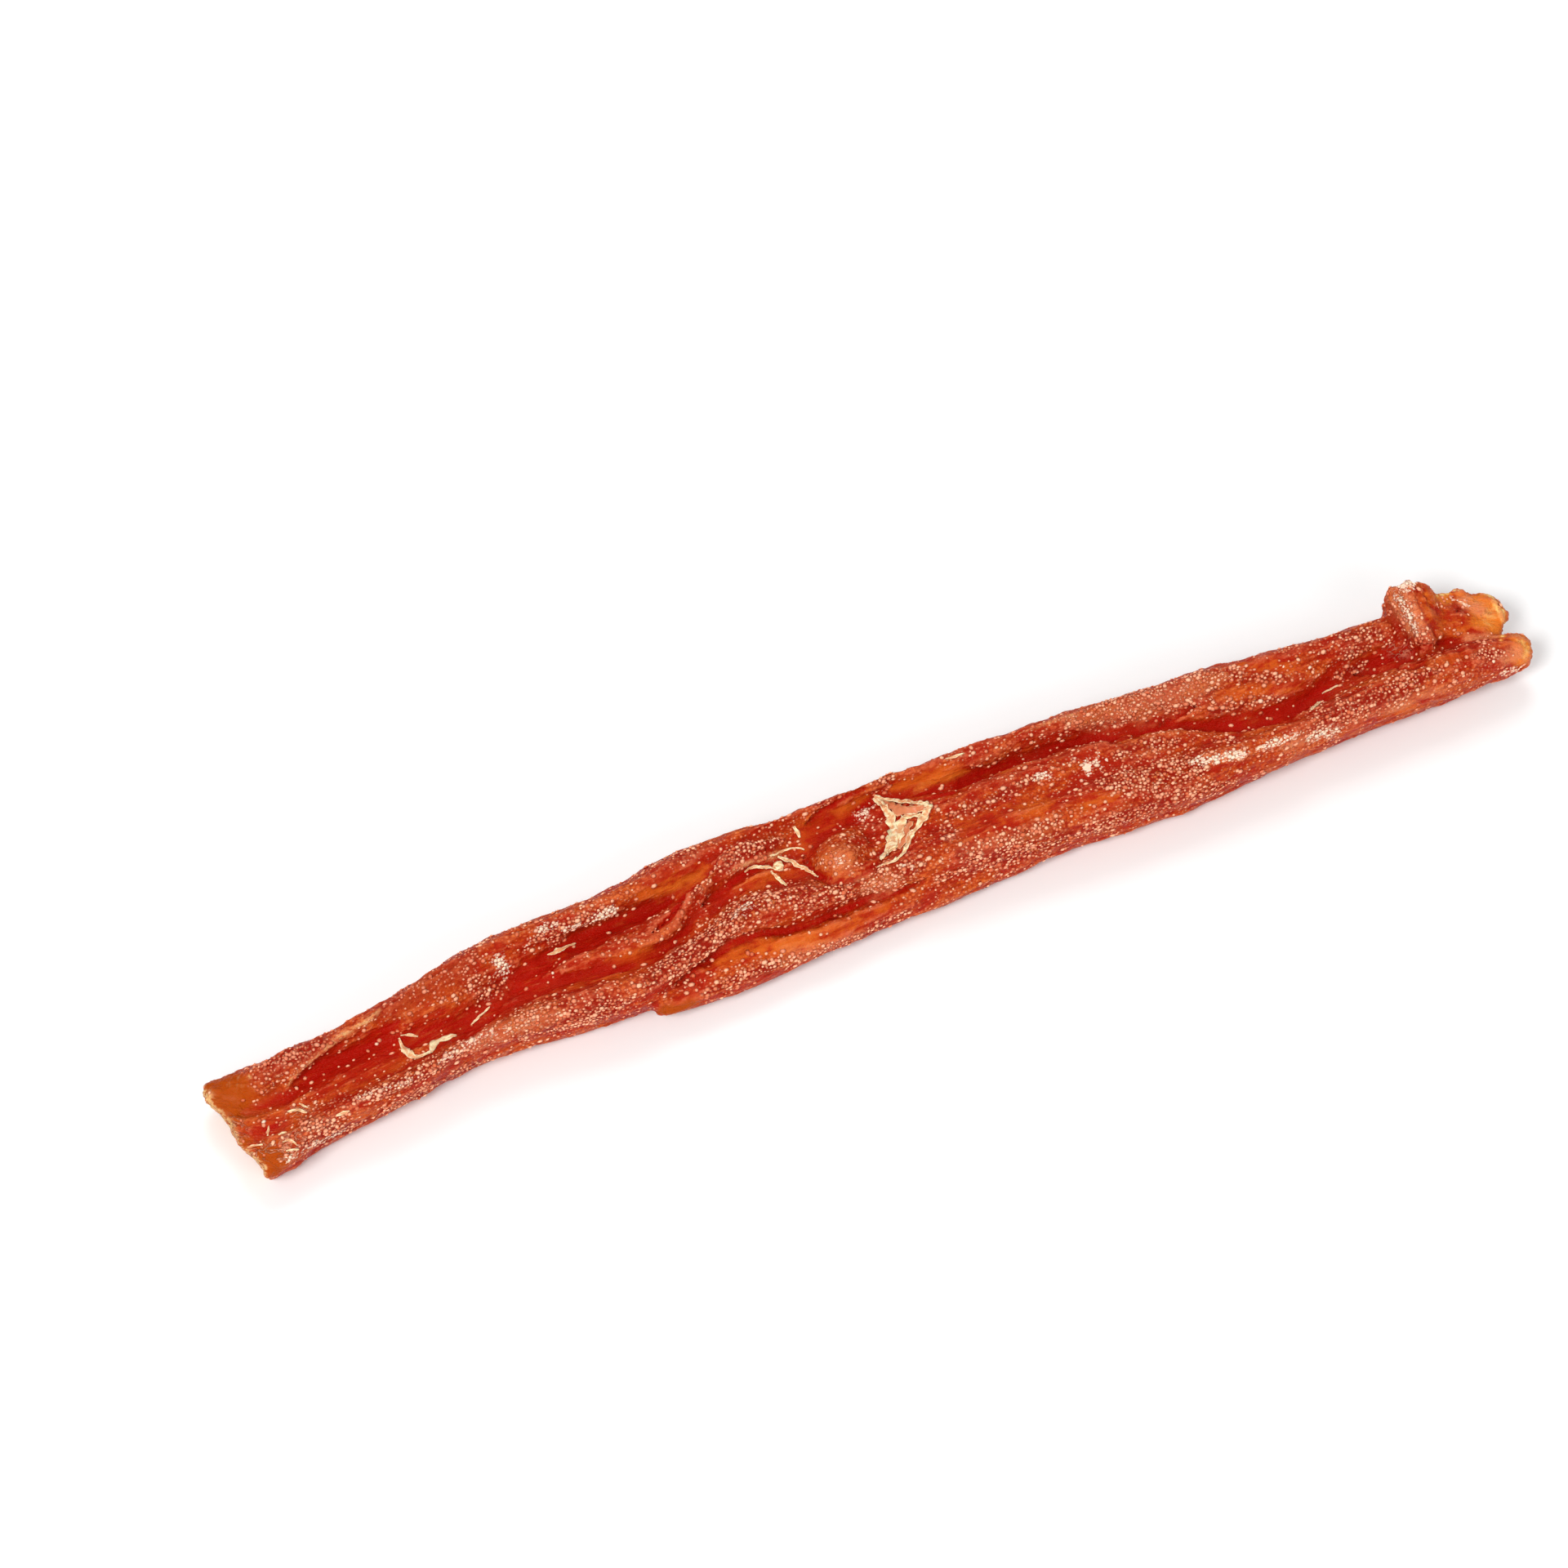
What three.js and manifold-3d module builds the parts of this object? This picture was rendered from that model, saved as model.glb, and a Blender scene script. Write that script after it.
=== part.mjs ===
// A dried chicken meat stick, about 133 mm long, lying on its flat underside.
//
// The real stick is one strip of breast meat that has dried into soft folds. The strip's two long
// edges are rolled up into a back rim and a front roll. A channel wanders between them, and muscle
// strands dried together make a smaller ridge beside it. A lip lies folded out under the front
// roll, a rounded bulge fills the channel left of the middle, and the right-hand end has a curled
// collar, a thin scalloped lobe and the front roll's own blunt tip. Everything is one solid.
//
// Millimetres. +X runs along the stick, +Y to its back, +Z up. The origin is on the floor, in the
// middle of the stick's footprint.

import * as THREE from 'three';
import { mergeVertices } from 'three/addons/utils/BufferGeometryUtils.js';
import Module from 'manifold-3d';

const wasm = await Module();
wasm.setup();

// Driving sizes
const LEFT_CUT = -65; // where the knife cut the left end, on the centre line
const CUT_SLANT = -0.2; // how far that cut leans along X for each mm across
const CUT_UNDER = 0.26; // how far it runs in under the stick for each mm down from its edge
const CUT_EDGE_HEIGHT = 4; // height of that edge
const CUT_OVERLAP = 4; // length that is modelled beyond the cut and then cut away
const BODY_END = 62.5; // right-hand end of the folded body
const TIP_REACH = 66.4; // the front roll's tip
const FLOOR_FLAT = 0.3; // depth of meat pressed flat where the stick rests
const FOOT_HEIGHT = 0.7; // height at which the rounded lower edges start
const FOOT_INSET = 1; // how far those edges lie inside the widest line
const REST_INSET = 2.6; // how far the two lines it rests on lie inside the widest line
const HOLLOW = 0.2; // mean height of the shallow hollow under the belly
const HOLLOW_SWING = 0.4; // how far that height swings along the stick
const HOLLOW_PITCH = 48; // length of one such swing
const SIDE_HEIGHT = 3; // height at which the stick is widest
const SIDE_SHARE = 0.55; // the same as a share of the height, where the stick is thin
const CHANNEL_HALF = 0.55; // half width of the channel's flat floor
const CHANNEL_SHARE = 0.35; // the most of the way to its neighbours that this floor takes up
const FULLNESS = 0.77; // how square the outer shoulders are: 0.71 is round, 1 is square
const UNEVEN = 0.13; // how far the surface wanders in and out
const CREASE_DEPTH = 0.55; // dents where the outer sides have shrunk in drying
const CREASE_HALF = 0.9; // half height of such a dent
const BLUNT = 0.02; // squared share of its size that the very end of a strand keeps
const STATION = 1.9; // spacing of sections along the stick
const END_STATIONS = [0.12, 0.45, 1]; // closer sections near a rounded end, measured from that end
const SAMPLES = 3; // corners of a section for each line of the folds
const FINEST = 0.035; // corners that stand out less than this are merged away
const MEAT_COLOUR = 0xb5381c;
const MEAT_ROUGHNESS = 0.5;

// A smooth curve through [x, value] pairs, level beyond its ends.
function curve(pairs) {
  const last = pairs.length - 1;
  const slope = (k) => {
    const a = pairs[Math.max(k - 1, 0)];
    const b = pairs[Math.min(k + 1, last)];
    return (b[1] - a[1]) / (b[0] - a[0]);
  };
  return (x) => {
    if (x <= pairs[0][0]) return pairs[0][1];
    if (x >= pairs[last][0]) return pairs[last][1];
    const i = pairs.findIndex((pair) => pair[0] > x) - 1;
    const [x0, v0] = pairs[i];
    const [x1, v1] = pairs[i + 1];
    const span = x1 - x0;
    const t = (x - x0) / span;
    const t2 = t * t;
    const t3 = t2 * t;
    return (
      (2 * t3 - 3 * t2 + 1) * v0 +
      (t3 - 2 * t2 + t) * span * slope(i) +
      (3 * t2 - 2 * t3) * v1 +
      (t3 - t2) * span * slope(i + 1)
    );
  };
}

// A line that runs along the stick, through [x, y, z] points.
function line(points) {
  const y = curve(points.map((p) => [p[0], p[1]]));
  const z = curve(points.map((p) => [p[0], p[2]]));
  return (x) => [y(x), z(x)];
}

// Plan of the stick, as seen from above: where its back and front edges run.
const backEdge = curve([
  [-65, 5.9], [-52, 5.6], [-45, 6.9], [-38, 8.3], [-26, 8.9], [-17, 10.1],
  [-6, 9.2], [16, 9.5], [32, 8.9], [46, 7.8], [58, 7.2],
]);
const frontEdge = curve([
  [-65, -6.1], [-61, -5.3], [-56, -3.8], [-50, -3.2], [-40, -1.9], [-33, -2.6], [-26, -3.0],
  [-18, -1.3], [-4, -1.1], [7, -2.0], [20, -2.9], [30, -3.3], [42, -2.3], [62, -2.2],
]);

// The folds, from the back of the stick to its front: each is a line of [x, y, z] points.
const backCrest = line([
  [-65, 4.4, 4.2], [-58, 4.1, 5.8], [-51, 4.6, 6.4], [-44, 5.8, 6.9], [-36, 6.8, 7.1],
  [-26, 6.7, 7.2], [-16, 8.4, 7.3], [-8, 8.5, 7.4], [3, 8.9, 7.3], [16, 8.6, 7.3],
  [30, 7.8, 7.2], [46, 6.4, 7.2], [54, 5.8, 7.2], [62, 5.4, 5.2],
]);
const rimShoulder = line([
  [-65, 2.7, 4.1], [-58, 2.5, 5.3], [-52, 3.5, 5.9], [-43, 2.9, 5.4], [-36, 5.0, 5.6],
  [-26, 6.1, 6.0], [-20, 6.6, 6.1], [-12, 8.2, 7.0], [-3, 8.1, 6.6], [4, 8.5, 6.6],
  [9, 7.3, 6.6], [18, 7.4, 6.7], [30, 5.9, 6.5], [39, 4.2, 6.2], [50, 4.5, 6.3], [62, 3.2, 4.8],
]);
const channelFloor = line([
  [-65, 1.0, 3.9], [-58, 1.8, 4.1], [-50, 2.5, 4.2], [-43, 1.4, 4.2], [-36, 4.0, 4.3],
  [-28, 5.8, 4.6], [-21, 5.8, 4.9], [-13, 7.9, 6.6], [-7, 7.3, 5.9], [1, 8.2, 5.3],
  [9, 6.4, 5.2], [18, 6.8, 5.3], [28, 5.2, 5.3], [38, 1.7, 5.0], [48, 3.4, 5.0], [62, 2.1, 4.2],
]);
const middleRidge = line([
  [-65, -0.8, 4.1], [-58, 0.2, 4.4], [-50, 0.7, 4.7], [-42, 0.4, 4.6], [-36, 2.7, 4.6],
  [-31, 3.1, 5.6], [-25, 2.6, 6.1], [-19, 4.4, 6.5], [-14, 6.2, 7.0], [-9, 5.7, 6.0],
  [-3, 5.5, 5.4], [2, 5.6, 5.7], [6, 5.8, 6.6], [10, 5.2, 6.8], [22, 4.4, 7.0], [30, 2.9, 6.6],
  [38, 0.9, 5.3], [50, 1.8, 5.3], [62, 1.3, 4.9],
]);
const frontHollow = line([
  [-65, -2.4, 4.1], [-58, -1.6, 4.7], [-50, -1.2, 5.0], [-42, -0.4, 5.2], [-36, 1.5, 4.7],
  [-31, 1.7, 4.5], [-25, 0.8, 4.8], [-20, 1.9, 4.9], [-14, 3.6, 5.7], [-9, 3.0, 5.6],
  [-3, 2.9, 5.6], [4, 2.9, 6.0], [12, 2.5, 6.4], [28, 1.6, 6.4], [38, 0.1, 6.1],
  [50, 0.8, 6.1], [62, 0.7, 5.5],
]);
const frontCrest = line([
  [-65, -3.8, 4.0], [-58, -3.0, 5.6], [-51, -2.5, 6.1], [-42, -1.3, 6.3], [-33, -0.9, 6.6],
  [-25, -1.8, 6.6], [-18, -0.4, 6.8], [-14, 1.0, 7.0], [-5, -0.1, 7.0], [8, -0.8, 6.8],
  [22, -0.3, 6.8], [40, -1.4, 7.0], [48, -0.8, 6.9], [62, -1.0, 5.9],
]);

// A slow swing along the stick, from -1 to 1, with the given pitch and a start of its own.
function swing(x, pitch, start = 0) {
  return Math.sin((2 * Math.PI * x) / pitch + start);
}

// Slow, repeatable unevenness, from -1 to 1. Each piece of meat has its own seed. A wave is given
// by its turns per mm along the strand, its turns round it, and its share of the whole.
const WAVES = [
  { along: 0.05, round: 1, share: 0.4 },
  { along: 0.13, round: 3, share: 0.35 },
  { along: 0.25, round: -5, share: 0.25 },
];
function wander(x, angle, seed) {
  const wave = ({ along, round, share }, i) =>
    share * Math.sin(2 * Math.PI * along * x + round * angle + (i + 2) * seed);
  return WAVES.map(wave).reduce((sum, height) => sum + height);
}

// Turns a closed geometry into a solid whose shared corners are merged.
function solid(geometry) {
  const bare = geometry.clone();
  bare.deleteAttribute('normal');
  bare.deleteAttribute('uv');
  const merged = mergeVertices(bare, 1e-4);
  return new wasm.Manifold(
    new wasm.Mesh({
      numProp: 3,
      vertProperties: merged.attributes.position.array,
      triVerts: new Uint32Array(merged.index.array),
    }),
  );
}

// A closed solid through a row of rings. Each ring is a list of [x, y, z] corners that turn from
// +Y towards +Z when seen from +X, and both ends are closed with a fan.
function loft(rings) {
  const sides = rings[0].length;
  const positions = rings.flat(2);
  const indices = [];
  for (let i = 0; i < rings.length - 1; i++) {
    for (let j = 0; j < sides; j++) {
      const a = i * sides + j;
      const b = i * sides + ((j + 1) % sides);
      indices.push(a, b, b + sides, a, b + sides, a + sides);
    }
  }
  [0, rings.length - 1].forEach((row) => {
    const centre = positions.length / 3;
    const middle = [0, 1, 2].map((k) => rings[row].reduce((sum, p) => sum + p[k], 0) / sides);
    positions.push(...middle);
    for (let j = 0; j < sides; j++) {
      const a = row * sides + j;
      const b = row * sides + ((j + 1) % sides);
      if (row) indices.push(a, b, centre);
      else indices.push(b, a, centre);
    }
  });
  const geometry = new THREE.BufferGeometry();
  geometry.setAttribute('position', new THREE.Float32BufferAttribute(positions, 3));
  geometry.setIndex(indices);
  return solid(geometry);
}

// How much of its full size a rounded end keeps, at a distance from its very end.
function rounding(distance, length) {
  if (distance >= length) return 1;
  const short = 1 - distance / length;
  return Math.sqrt(Math.max(1 - short * short, BLUNT));
}

// Positions of the sections between two ends, closer together where an end is rounded.
function stations(from, to, taper) {
  const steps = Math.max(4, Math.round((to - from) / STATION));
  const even = Array.from({ length: steps + 1 }, (_, i) => from + ((to - from) * i) / steps);
  const extra = [
    ...(taper[0] ? END_STATIONS.map((d) => from + d) : []),
    ...(taper[1] ? END_STATIONS.map((d) => to - d) : []),
  ];
  return [...even, ...extra].sort((a, b) => a - b);
}

// One section of the folded body: a closed curve over the folds and round under the belly.
function bodySection(x) {
  const back = backEdge(x);
  const front = frontEdge(x);
  const [backY, backZ] = backCrest(x);
  const [frontY, frontZ] = frontCrest(x);
  const shoulder = (edge, crestY, crestZ) => [
    crestY + FULLNESS * (edge - crestY),
    SIDE_HEIGHT + FULLNESS * (crestZ - SIDE_HEIGHT),
  ];
  const side = Math.min(SIDE_HEIGHT, SIDE_SHARE * Math.min(backZ, frontZ));
  const [floorY, floorZ] = channelFloor(x);
  const floorSide = (neighbour) => [
    floorY + THREE.MathUtils.clamp(CHANNEL_SHARE * (neighbour[0] - floorY), -CHANNEL_HALF, CHANNEL_HALF),
    floorZ,
  ];
  const corners = [
    [back, side],
    shoulder(back, backY, backZ),
    [backY, backZ],
    rimShoulder(x),
    floorSide(rimShoulder(x)),
    floorSide(middleRidge(x)),
    middleRidge(x),
    frontHollow(x),
    [frontY, frontZ],
    shoulder(front, frontY, frontZ),
    [front, side],
    [front + FOOT_INSET, FOOT_HEIGHT],
    [front + REST_INSET, -FLOOR_FLAT],
    [(front + back) / 2, HOLLOW + HOLLOW_SWING * swing(x, HOLLOW_PITCH)],
    [back - REST_INSET, -FLOOR_FLAT],
    [back - FOOT_INSET, FOOT_HEIGHT],
  ];
  const loop = new THREE.CatmullRomCurve3(
    corners.map(([y, z]) => new THREE.Vector3(x, y, z)),
    true,
    'centripetal',
  );
  return loop.getPoints(corners.length * SAMPLES).slice(0, -1);
}

// How far a shallow crease that runs along an outer side dents a point of the section. The crease
// wanders up and down its side, and it fades and deepens along the stick.
function sideCrease(x, y, z) {
  const onBack = y > (backEdge(x) + frontEdge(x)) / 2;
  const { mean, rise, pitch, start } = onBack
    ? { mean: 3.4, rise: 1.2, pitch: 74, start: 0.6 }
    : { mean: 2.4, rise: 0.7, pitch: 57, start: 0 };
  const outside = onBack ? y > backCrest(x)[0] : y < frontCrest(x)[0];
  if (!outside) return 0;
  const height = mean + rise * swing(x, pitch, start);
  const [weakest, fadePitch, fadeStart] = [0.2, 30, 2];
  const strength = weakest + ((1 - weakest) * (1 + swing(x, fadePitch, fadeStart))) / 2;
  return CREASE_DEPTH * strength * Math.exp(-(((z - height) / CREASE_HALF) ** 2));
}

function body() {
  const roundedEnd = 5;
  const seed = 1;
  const rings = stations(LEFT_CUT - CUT_OVERLAP, BODY_END, [0, roundedEnd]).map((x) => {
    const section = bodySection(x);
    const middle = section
      .reduce((sum, p) => sum.add(p), new THREE.Vector3())
      .divideScalar(section.length);
    const near = rounding(BODY_END - x, roundedEnd);
    return section.map((p, j) => {
      const out = p.clone().sub(middle);
      const angle = (j / section.length) * Math.PI * 2;
      const uneven = UNEVEN * wander(x, angle, seed) - sideCrease(x, p.y, p.z);
      const reach = out.length() * near + uneven * near;
      return out.setLength(reach).add(middle).toArray();
    });
  });
  return loft(rings);
}

// One strand of meat: a tube of rounded-square sections, each upright across X, given by the
// heights of its top and foot. Its ends are rounded off over the lengths in `taper`.
function strand({ from, to, y, half, top, foot, seed, square = 2.2, sides = 16, taper = [0, 0] }) {
  const rings = stations(from, to, taper).map((x) => {
    const near = rounding(x - from, taper[0]) * rounding(to - x, taper[1]);
    const z = (top(x) + foot) / 2;
    const tall = (top(x) - foot) / 2;
    return Array.from({ length: sides }, (_, j) => {
      const angle = (j / sides) * Math.PI * 2;
      const c = Math.cos(angle);
      const s = Math.sin(angle);
      const swell = near * (1 + (UNEVEN * wander(x, angle, seed)) / half(x));
      return [
        x,
        y(x) + Math.sign(c) * Math.abs(c) ** (2 / square) * half(x) * swell,
        z + Math.sign(s) * Math.abs(s) ** (2 / square) * tall * swell,
      ];
    });
  });
  return loft(rings);
}

// The lip is the strip's own edge, folded out below the front roll. It starts with a blunt step.
function lip() {
  const outer = curve([[-26, -3.5], [-21, -4.2], [-13, -3.9], [0, -3.1], [16, -2.4]]);
  const half = curve([[-26, 1.9], [-10, 2.0], [16, 1.5]]);
  return strand({
    from: -25.4,
    to: 16,
    y: (x) => outer(x) + half(x),
    half,
    top: curve([[-26, 4.1], [-12, 4.6], [16, 3.8]]),
    foot: 0.35,
    taper: [0.8, 5],
    seed: 4,
  });
}

// The lobe on the channel's back side, near the right-hand end.
function innerLobe() {
  return strand({
    from: 30,
    to: 49,
    y: curve([[30, 5.5], [36, 4.7], [42, 4.5], [49, 4.9]]),
    half: curve([[30, 1.3], [38, 2.1], [44, 1.9], [49, 1.3]]),
    top: curve([[30, 6.5], [38, 6.8], [44, 6.7], [49, 6.2]]),
    foot: 3,
    taper: [3, 7],
    seed: 8,
  });
}

// The front roll runs on past the body and ends in a blunt tip.
function frontTip() {
  return strand({
    from: 42,
    to: TIP_REACH,
    y: curve([[42, -0.2], [56, -0.2], [66, -0.4]]),
    half: curve([[42, 1.5], [54, 2.0], [66, 1.75]]),
    top: curve([[42, 6.4], [52, 7.0], [66, 6.0]]),
    foot: 1.4,
    taper: [8, 2.4],
    seed: 3,
  });
}

// A rounded lump of meat that bulges out of the channel just left of the middle.
function bulge() {
  const halves = [4.4, 2.7, 2.6];
  const turn = 28;
  const lump = new THREE.SphereGeometry(1, 22, 16);
  lump.scale(...halves);
  lump.rotateZ(THREE.MathUtils.degToRad(turn));
  lump.translate(-4.3, 3.2, 4.3);
  return solid(lump);
}

// The two ways in which a ribbon can lie: level across the stick, or across a bend in its height.
const acrossPlan = (along) => new THREE.Vector3(0, 0, 1).cross(along).normalize();
const acrossBend = (along) => new THREE.Vector3(0, -1, 0).addScaledVector(along, along.y).normalize();

// A flat ribbon of meat bent along a few points. Its half width, half thickness and the angle it
// leans at are functions of the share of its length.
function ribbon(points, { lie, wide, thick, lean = () => 0, steps, sides }) {
  const path = new THREE.CatmullRomCurve3(points.map((p) => new THREE.Vector3(...p)));
  const rings = Array.from({ length: steps + 1 }, (_, i) => {
    const t = i / steps;
    const centre = path.getPointAt(t);
    const along = path.getTangentAt(t);
    const across = lie(along);
    const up = along.clone().cross(across);
    const turn = THREE.MathUtils.degToRad(lean(t));
    return Array.from({ length: sides }, (_corner, j) => {
      const angle = (j / sides) * Math.PI * 2;
      const u = Math.cos(angle) * wide(t);
      const v = Math.sin(angle) * thick(t);
      return centre
        .clone()
        .addScaledVector(across, u * Math.cos(turn) - v * Math.sin(turn))
        .addScaledVector(up, u * Math.sin(turn) + v * Math.cos(turn))
        .toArray();
    });
  });
  return loft(rings);
}

// The back rim ends in a thin lobe. Its left part stands up and is rolled over as a fat collar.
function endLobe() {
  const bend = [
    [65.9, 4.8, 4.2], [64.5, 4.6, 4.3], [63.2, 4.3, 4.4], [60.6, 4.3, 4.9], [58.7, 4.6, 5.6],
    [57.5, 5.0, 6.7], [56.7, 5.2, 7.5], [55.9, 5.2, 7.1], [55.4, 4.8, 5.6], [55.3, 4.5, 3.8],
  ];
  const width = curve([
    [0, 1.2], [0.03, 1.7], [0.07, 2.0], [0.11, 2.3], [0.15, 2.8], [0.19, 3.5], [0.24, 3.7],
    [0.34, 3.5], [0.51, 3.2], [0.63, 3.5], [0.75, 3.6], [0.87, 3.2], [1, 3.0],
  ]);
  const [deepScallop, fineScallop] = [0.03, 0.03];
  const scallop = (t) => 1 + deepScallop * Math.sin(34 * t) + fineScallop * Math.sin(59 * t + 1);
  return ribbon(bend, {
    lie: acrossBend,
    wide: (t) => width(t) * scallop(t),
    thick: curve([[0, 0.5], [0.08, 1.0], [0.35, 1.3], [0.5, 1.0], [0.65, 0.8], [1, 0.9]]),
    lean: curve([[0, -4], [0.35, -6], [0.6, -24], [0.8, -16], [1, -2]]),
    steps: 30,
    sides: 20,
  });
}

// The inside of the curl has dried into one mass with it.
function collarCore() {
  const halves = [1.3, 3.2, 2.0];
  const tilt = 20;
  const core = new THREE.SphereGeometry(1, 22, 16);
  core.scale(...halves);
  core.rotateX(THREE.MathUtils.degToRad(tilt));
  core.translate(56.1, 4.7, 5.2);
  return solid(core);
}

// Height of the body's upper surface at a point of its plan.
function surfaceHeight(x, y) {
  const section = bodySection(x);
  let height = 0;
  section.forEach((a, j) => {
    const b = section[(j + 1) % section.length];
    if ((a.y - y) * (b.y - y) > 0 || a.y === b.y) return;
    height = Math.max(height, a.z + ((b.z - a.z) * (y - a.y)) / (b.y - a.y));
  });
  return height;
}

// Shreds of dry skin, torn and lying on top of the meat. Each is a line of [x, y] points.
function tornSkins() {
  const wide = curve([[0, 0.25], [0.5, 0.5], [1, 0.2]]);
  const thick = curve([[0, 0.2], [0.5, 0.35], [1, 0.15]]);
  const lift = 0.1;
  return [
    [[-48.2, 2.4], [-47.9, 0.6], [-46.6, 0.2], [-44.2, 1.2], [-43.4, 1.6]],
    [[1.6, 6.9], [3.2, 5.6], [3.6, 3.9], [1.6, 1.7]],
    [[3.2, 5.8], [5.2, 4.7], [4.4, 3.2], [2.6, 1.2]],
    [[-13.2, 5.9], [-10.6, 5.3], [-8.4, 4.2], [-7.2, 3.2]],
  ].map((points) => {
    const path = points.map(([x, y]) => [x, y, surfaceHeight(x, y) + lift]);
    return ribbon(path, { lie: acrossPlan, wide, thick, steps: 8, sides: 6 });
  });
}

// The left end is cut with a knife, and the dry fibres leave the cut face a little ragged.
function leftCutter() {
  const [depth, width, height] = [12, 30, 20];
  const middle = 3;
  // Each row of teeth is given by its waves across and up, and by its depth.
  const teeth = [[1.2, 0.5, 0.22], [3.1, -1.7, 0.14], [6.7, 2.3, 0.08]];
  const block = new THREE.BoxGeometry(depth, width, height, 1, 36, 18);
  const corner = block.attributes.position;
  for (let i = 0; i < corner.count; i++) {
    const y = corner.getY(i);
    const z = corner.getZ(i);
    if (corner.getX(i) < 0) continue;
    const ragged = teeth.reduce((sum, [a, b, deep]) => sum + deep * Math.sin(a * y + b * z), 0);
    const under = CUT_UNDER * (CUT_EDGE_HEIGHT - middle - z);
    corner.setX(i, corner.getX(i) + CUT_SLANT * y + under + ragged);
  }
  block.translate(LEFT_CUT - depth / 2, 0, middle);
  return solid(block);
}

// Everything below the floor is pressed away.
function floorCutter() {
  const [length, width, thick] = [180, 60, 10];
  const block = new THREE.BoxGeometry(length, width, thick);
  block.translate(0, 0, -thick / 2);
  return solid(block);
}

function stickGeometry() {
  const pieces = [lip(), innerLobe(), bulge(), frontTip(), endLobe(), collarCore(), ...tornSkins()];
  const whole = pieces
    .reduce((sum, piece) => sum.add(piece), body())
    .subtract(leftCutter())
    .subtract(floorCutter())
    .simplify(FINEST);
  const mesh = whole.getMesh();
  const geometry = new THREE.BufferGeometry();
  geometry.setAttribute('position', new THREE.BufferAttribute(mesh.vertProperties, 3));
  geometry.setIndex(new THREE.BufferAttribute(mesh.triVerts, 1));
  geometry.computeBoundingBox();
  const middle = geometry.boundingBox.getCenter(new THREE.Vector3());
  geometry.translate(-middle.x, -middle.y, 0);
  geometry.computeVertexNormals();
  return geometry;
}

const meat = new THREE.MeshStandardMaterial({ color: MEAT_COLOUR, roughness: MEAT_ROUGHNESS });
const stick = new THREE.Mesh(stickGeometry(), meat);
stick.name = 'meat_stick';

const part = new THREE.Group();
part.name = 'chicken_meat_stick';
part.add(stick);

export default part;
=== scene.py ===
import math

import bmesh
import bpy
import numpy as np
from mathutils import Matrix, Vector
from mathutils.bvhtree import BVHTree


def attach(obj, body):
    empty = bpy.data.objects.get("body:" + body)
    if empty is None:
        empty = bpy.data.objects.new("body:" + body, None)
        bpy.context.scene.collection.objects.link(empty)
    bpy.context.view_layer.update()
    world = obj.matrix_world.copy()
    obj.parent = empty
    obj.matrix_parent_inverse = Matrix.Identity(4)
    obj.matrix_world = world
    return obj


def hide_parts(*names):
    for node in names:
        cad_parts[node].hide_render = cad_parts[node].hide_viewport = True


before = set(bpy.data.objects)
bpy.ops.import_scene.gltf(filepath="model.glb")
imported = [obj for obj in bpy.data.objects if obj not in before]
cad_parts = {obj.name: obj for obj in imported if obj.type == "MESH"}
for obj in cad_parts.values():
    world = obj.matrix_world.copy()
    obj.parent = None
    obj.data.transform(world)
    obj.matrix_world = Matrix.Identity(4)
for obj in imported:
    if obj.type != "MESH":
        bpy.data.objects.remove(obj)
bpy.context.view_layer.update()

# The view that the stick is shown in. It lies on a table and is seen from above its front, turned
# a little, through a long lens. Marks on the meat are placed by where they show in this picture.
MM = 0.001
PICTURE_SIDE = 1920
VIEW_TURN, VIEW_RISE = -23.905, 56
VIEW_DISTANCE = 446.64 * MM
VIEW_CENTRE = Vector((-4.99, 11.87, 3.5)) * MM
LENS, SENSOR = 110, 36
CLIP_START, CLIP_END = 0.01, 20

scene = bpy.context.scene


def direction(turn, rise):
    """The direction out to a place at a turn round the stick and a rise, in degrees."""
    turn, rise = math.radians(turn), math.radians(rise)
    return Vector((
        math.sin(turn) * math.cos(rise), -math.cos(turn) * math.cos(rise), math.sin(rise),
    ))


def face_against(thing, outwards):
    """Turns a camera or a lamp so that it looks back along a direction."""
    thing.rotation_mode = "QUATERNION"
    thing.rotation_quaternion = (-outwards).to_track_quat("-Z", "Y")


camera_data = bpy.data.cameras.new("camera")
camera_data.lens = LENS
camera_data.sensor_width = SENSOR
camera_data.clip_start = CLIP_START
camera_data.clip_end = CLIP_END
camera = bpy.data.objects.new("camera", camera_data)
scene.collection.objects.link(camera)
camera.location = VIEW_CENTRE + VIEW_DISTANCE * direction(VIEW_TURN, VIEW_RISE)
face_against(camera, direction(VIEW_TURN, VIEW_RISE))
scene.camera = camera


def sight_line(across, down):
    """The direction from the camera through a point of the picture."""
    half = SENSOR / 2 / LENS
    right = (2 * across / PICTURE_SIDE - 1) * half
    up = (1 - 2 * down / PICTURE_SIDE) * half
    return (camera.rotation_quaternion @ Vector((right, up, -1))).normalized()


# The strip of breast meat: one piece, cut at its left end and dried until it has shrunk into soft
# folds. Its skin is leathery, with furrows along the muscle fibres, and dents between them.
SKIN_CELL = 0.25 * MM
SAME_PLACE = 0.001 * MM
EVENING_TURNS = 10


def linked(mesh, name):
    """A new object for a mesh."""
    thing = bpy.data.objects.new(name, mesh)
    scene.collection.objects.link(thing)
    return thing


def plain_mesh(thing, name):
    """The mesh of a thing with its modifiers applied, as a new object. The thing is removed."""
    bpy.context.view_layer.update()
    seen = thing.evaluated_get(bpy.context.evaluated_depsgraph_get())
    made = linked(bpy.data.meshes.new_from_object(seen), name)
    made.data.name = name
    bpy.data.objects.remove(thing)
    return made


def read_rows(rows, field, wide, kind=np.float32):
    """One field of a mesh's corners or edges, as an array with a row for each of them."""
    flat = np.zeros(len(rows) * wide, kind)
    rows.foreach_get(field, flat)
    return flat.reshape(-1, wide)


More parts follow.
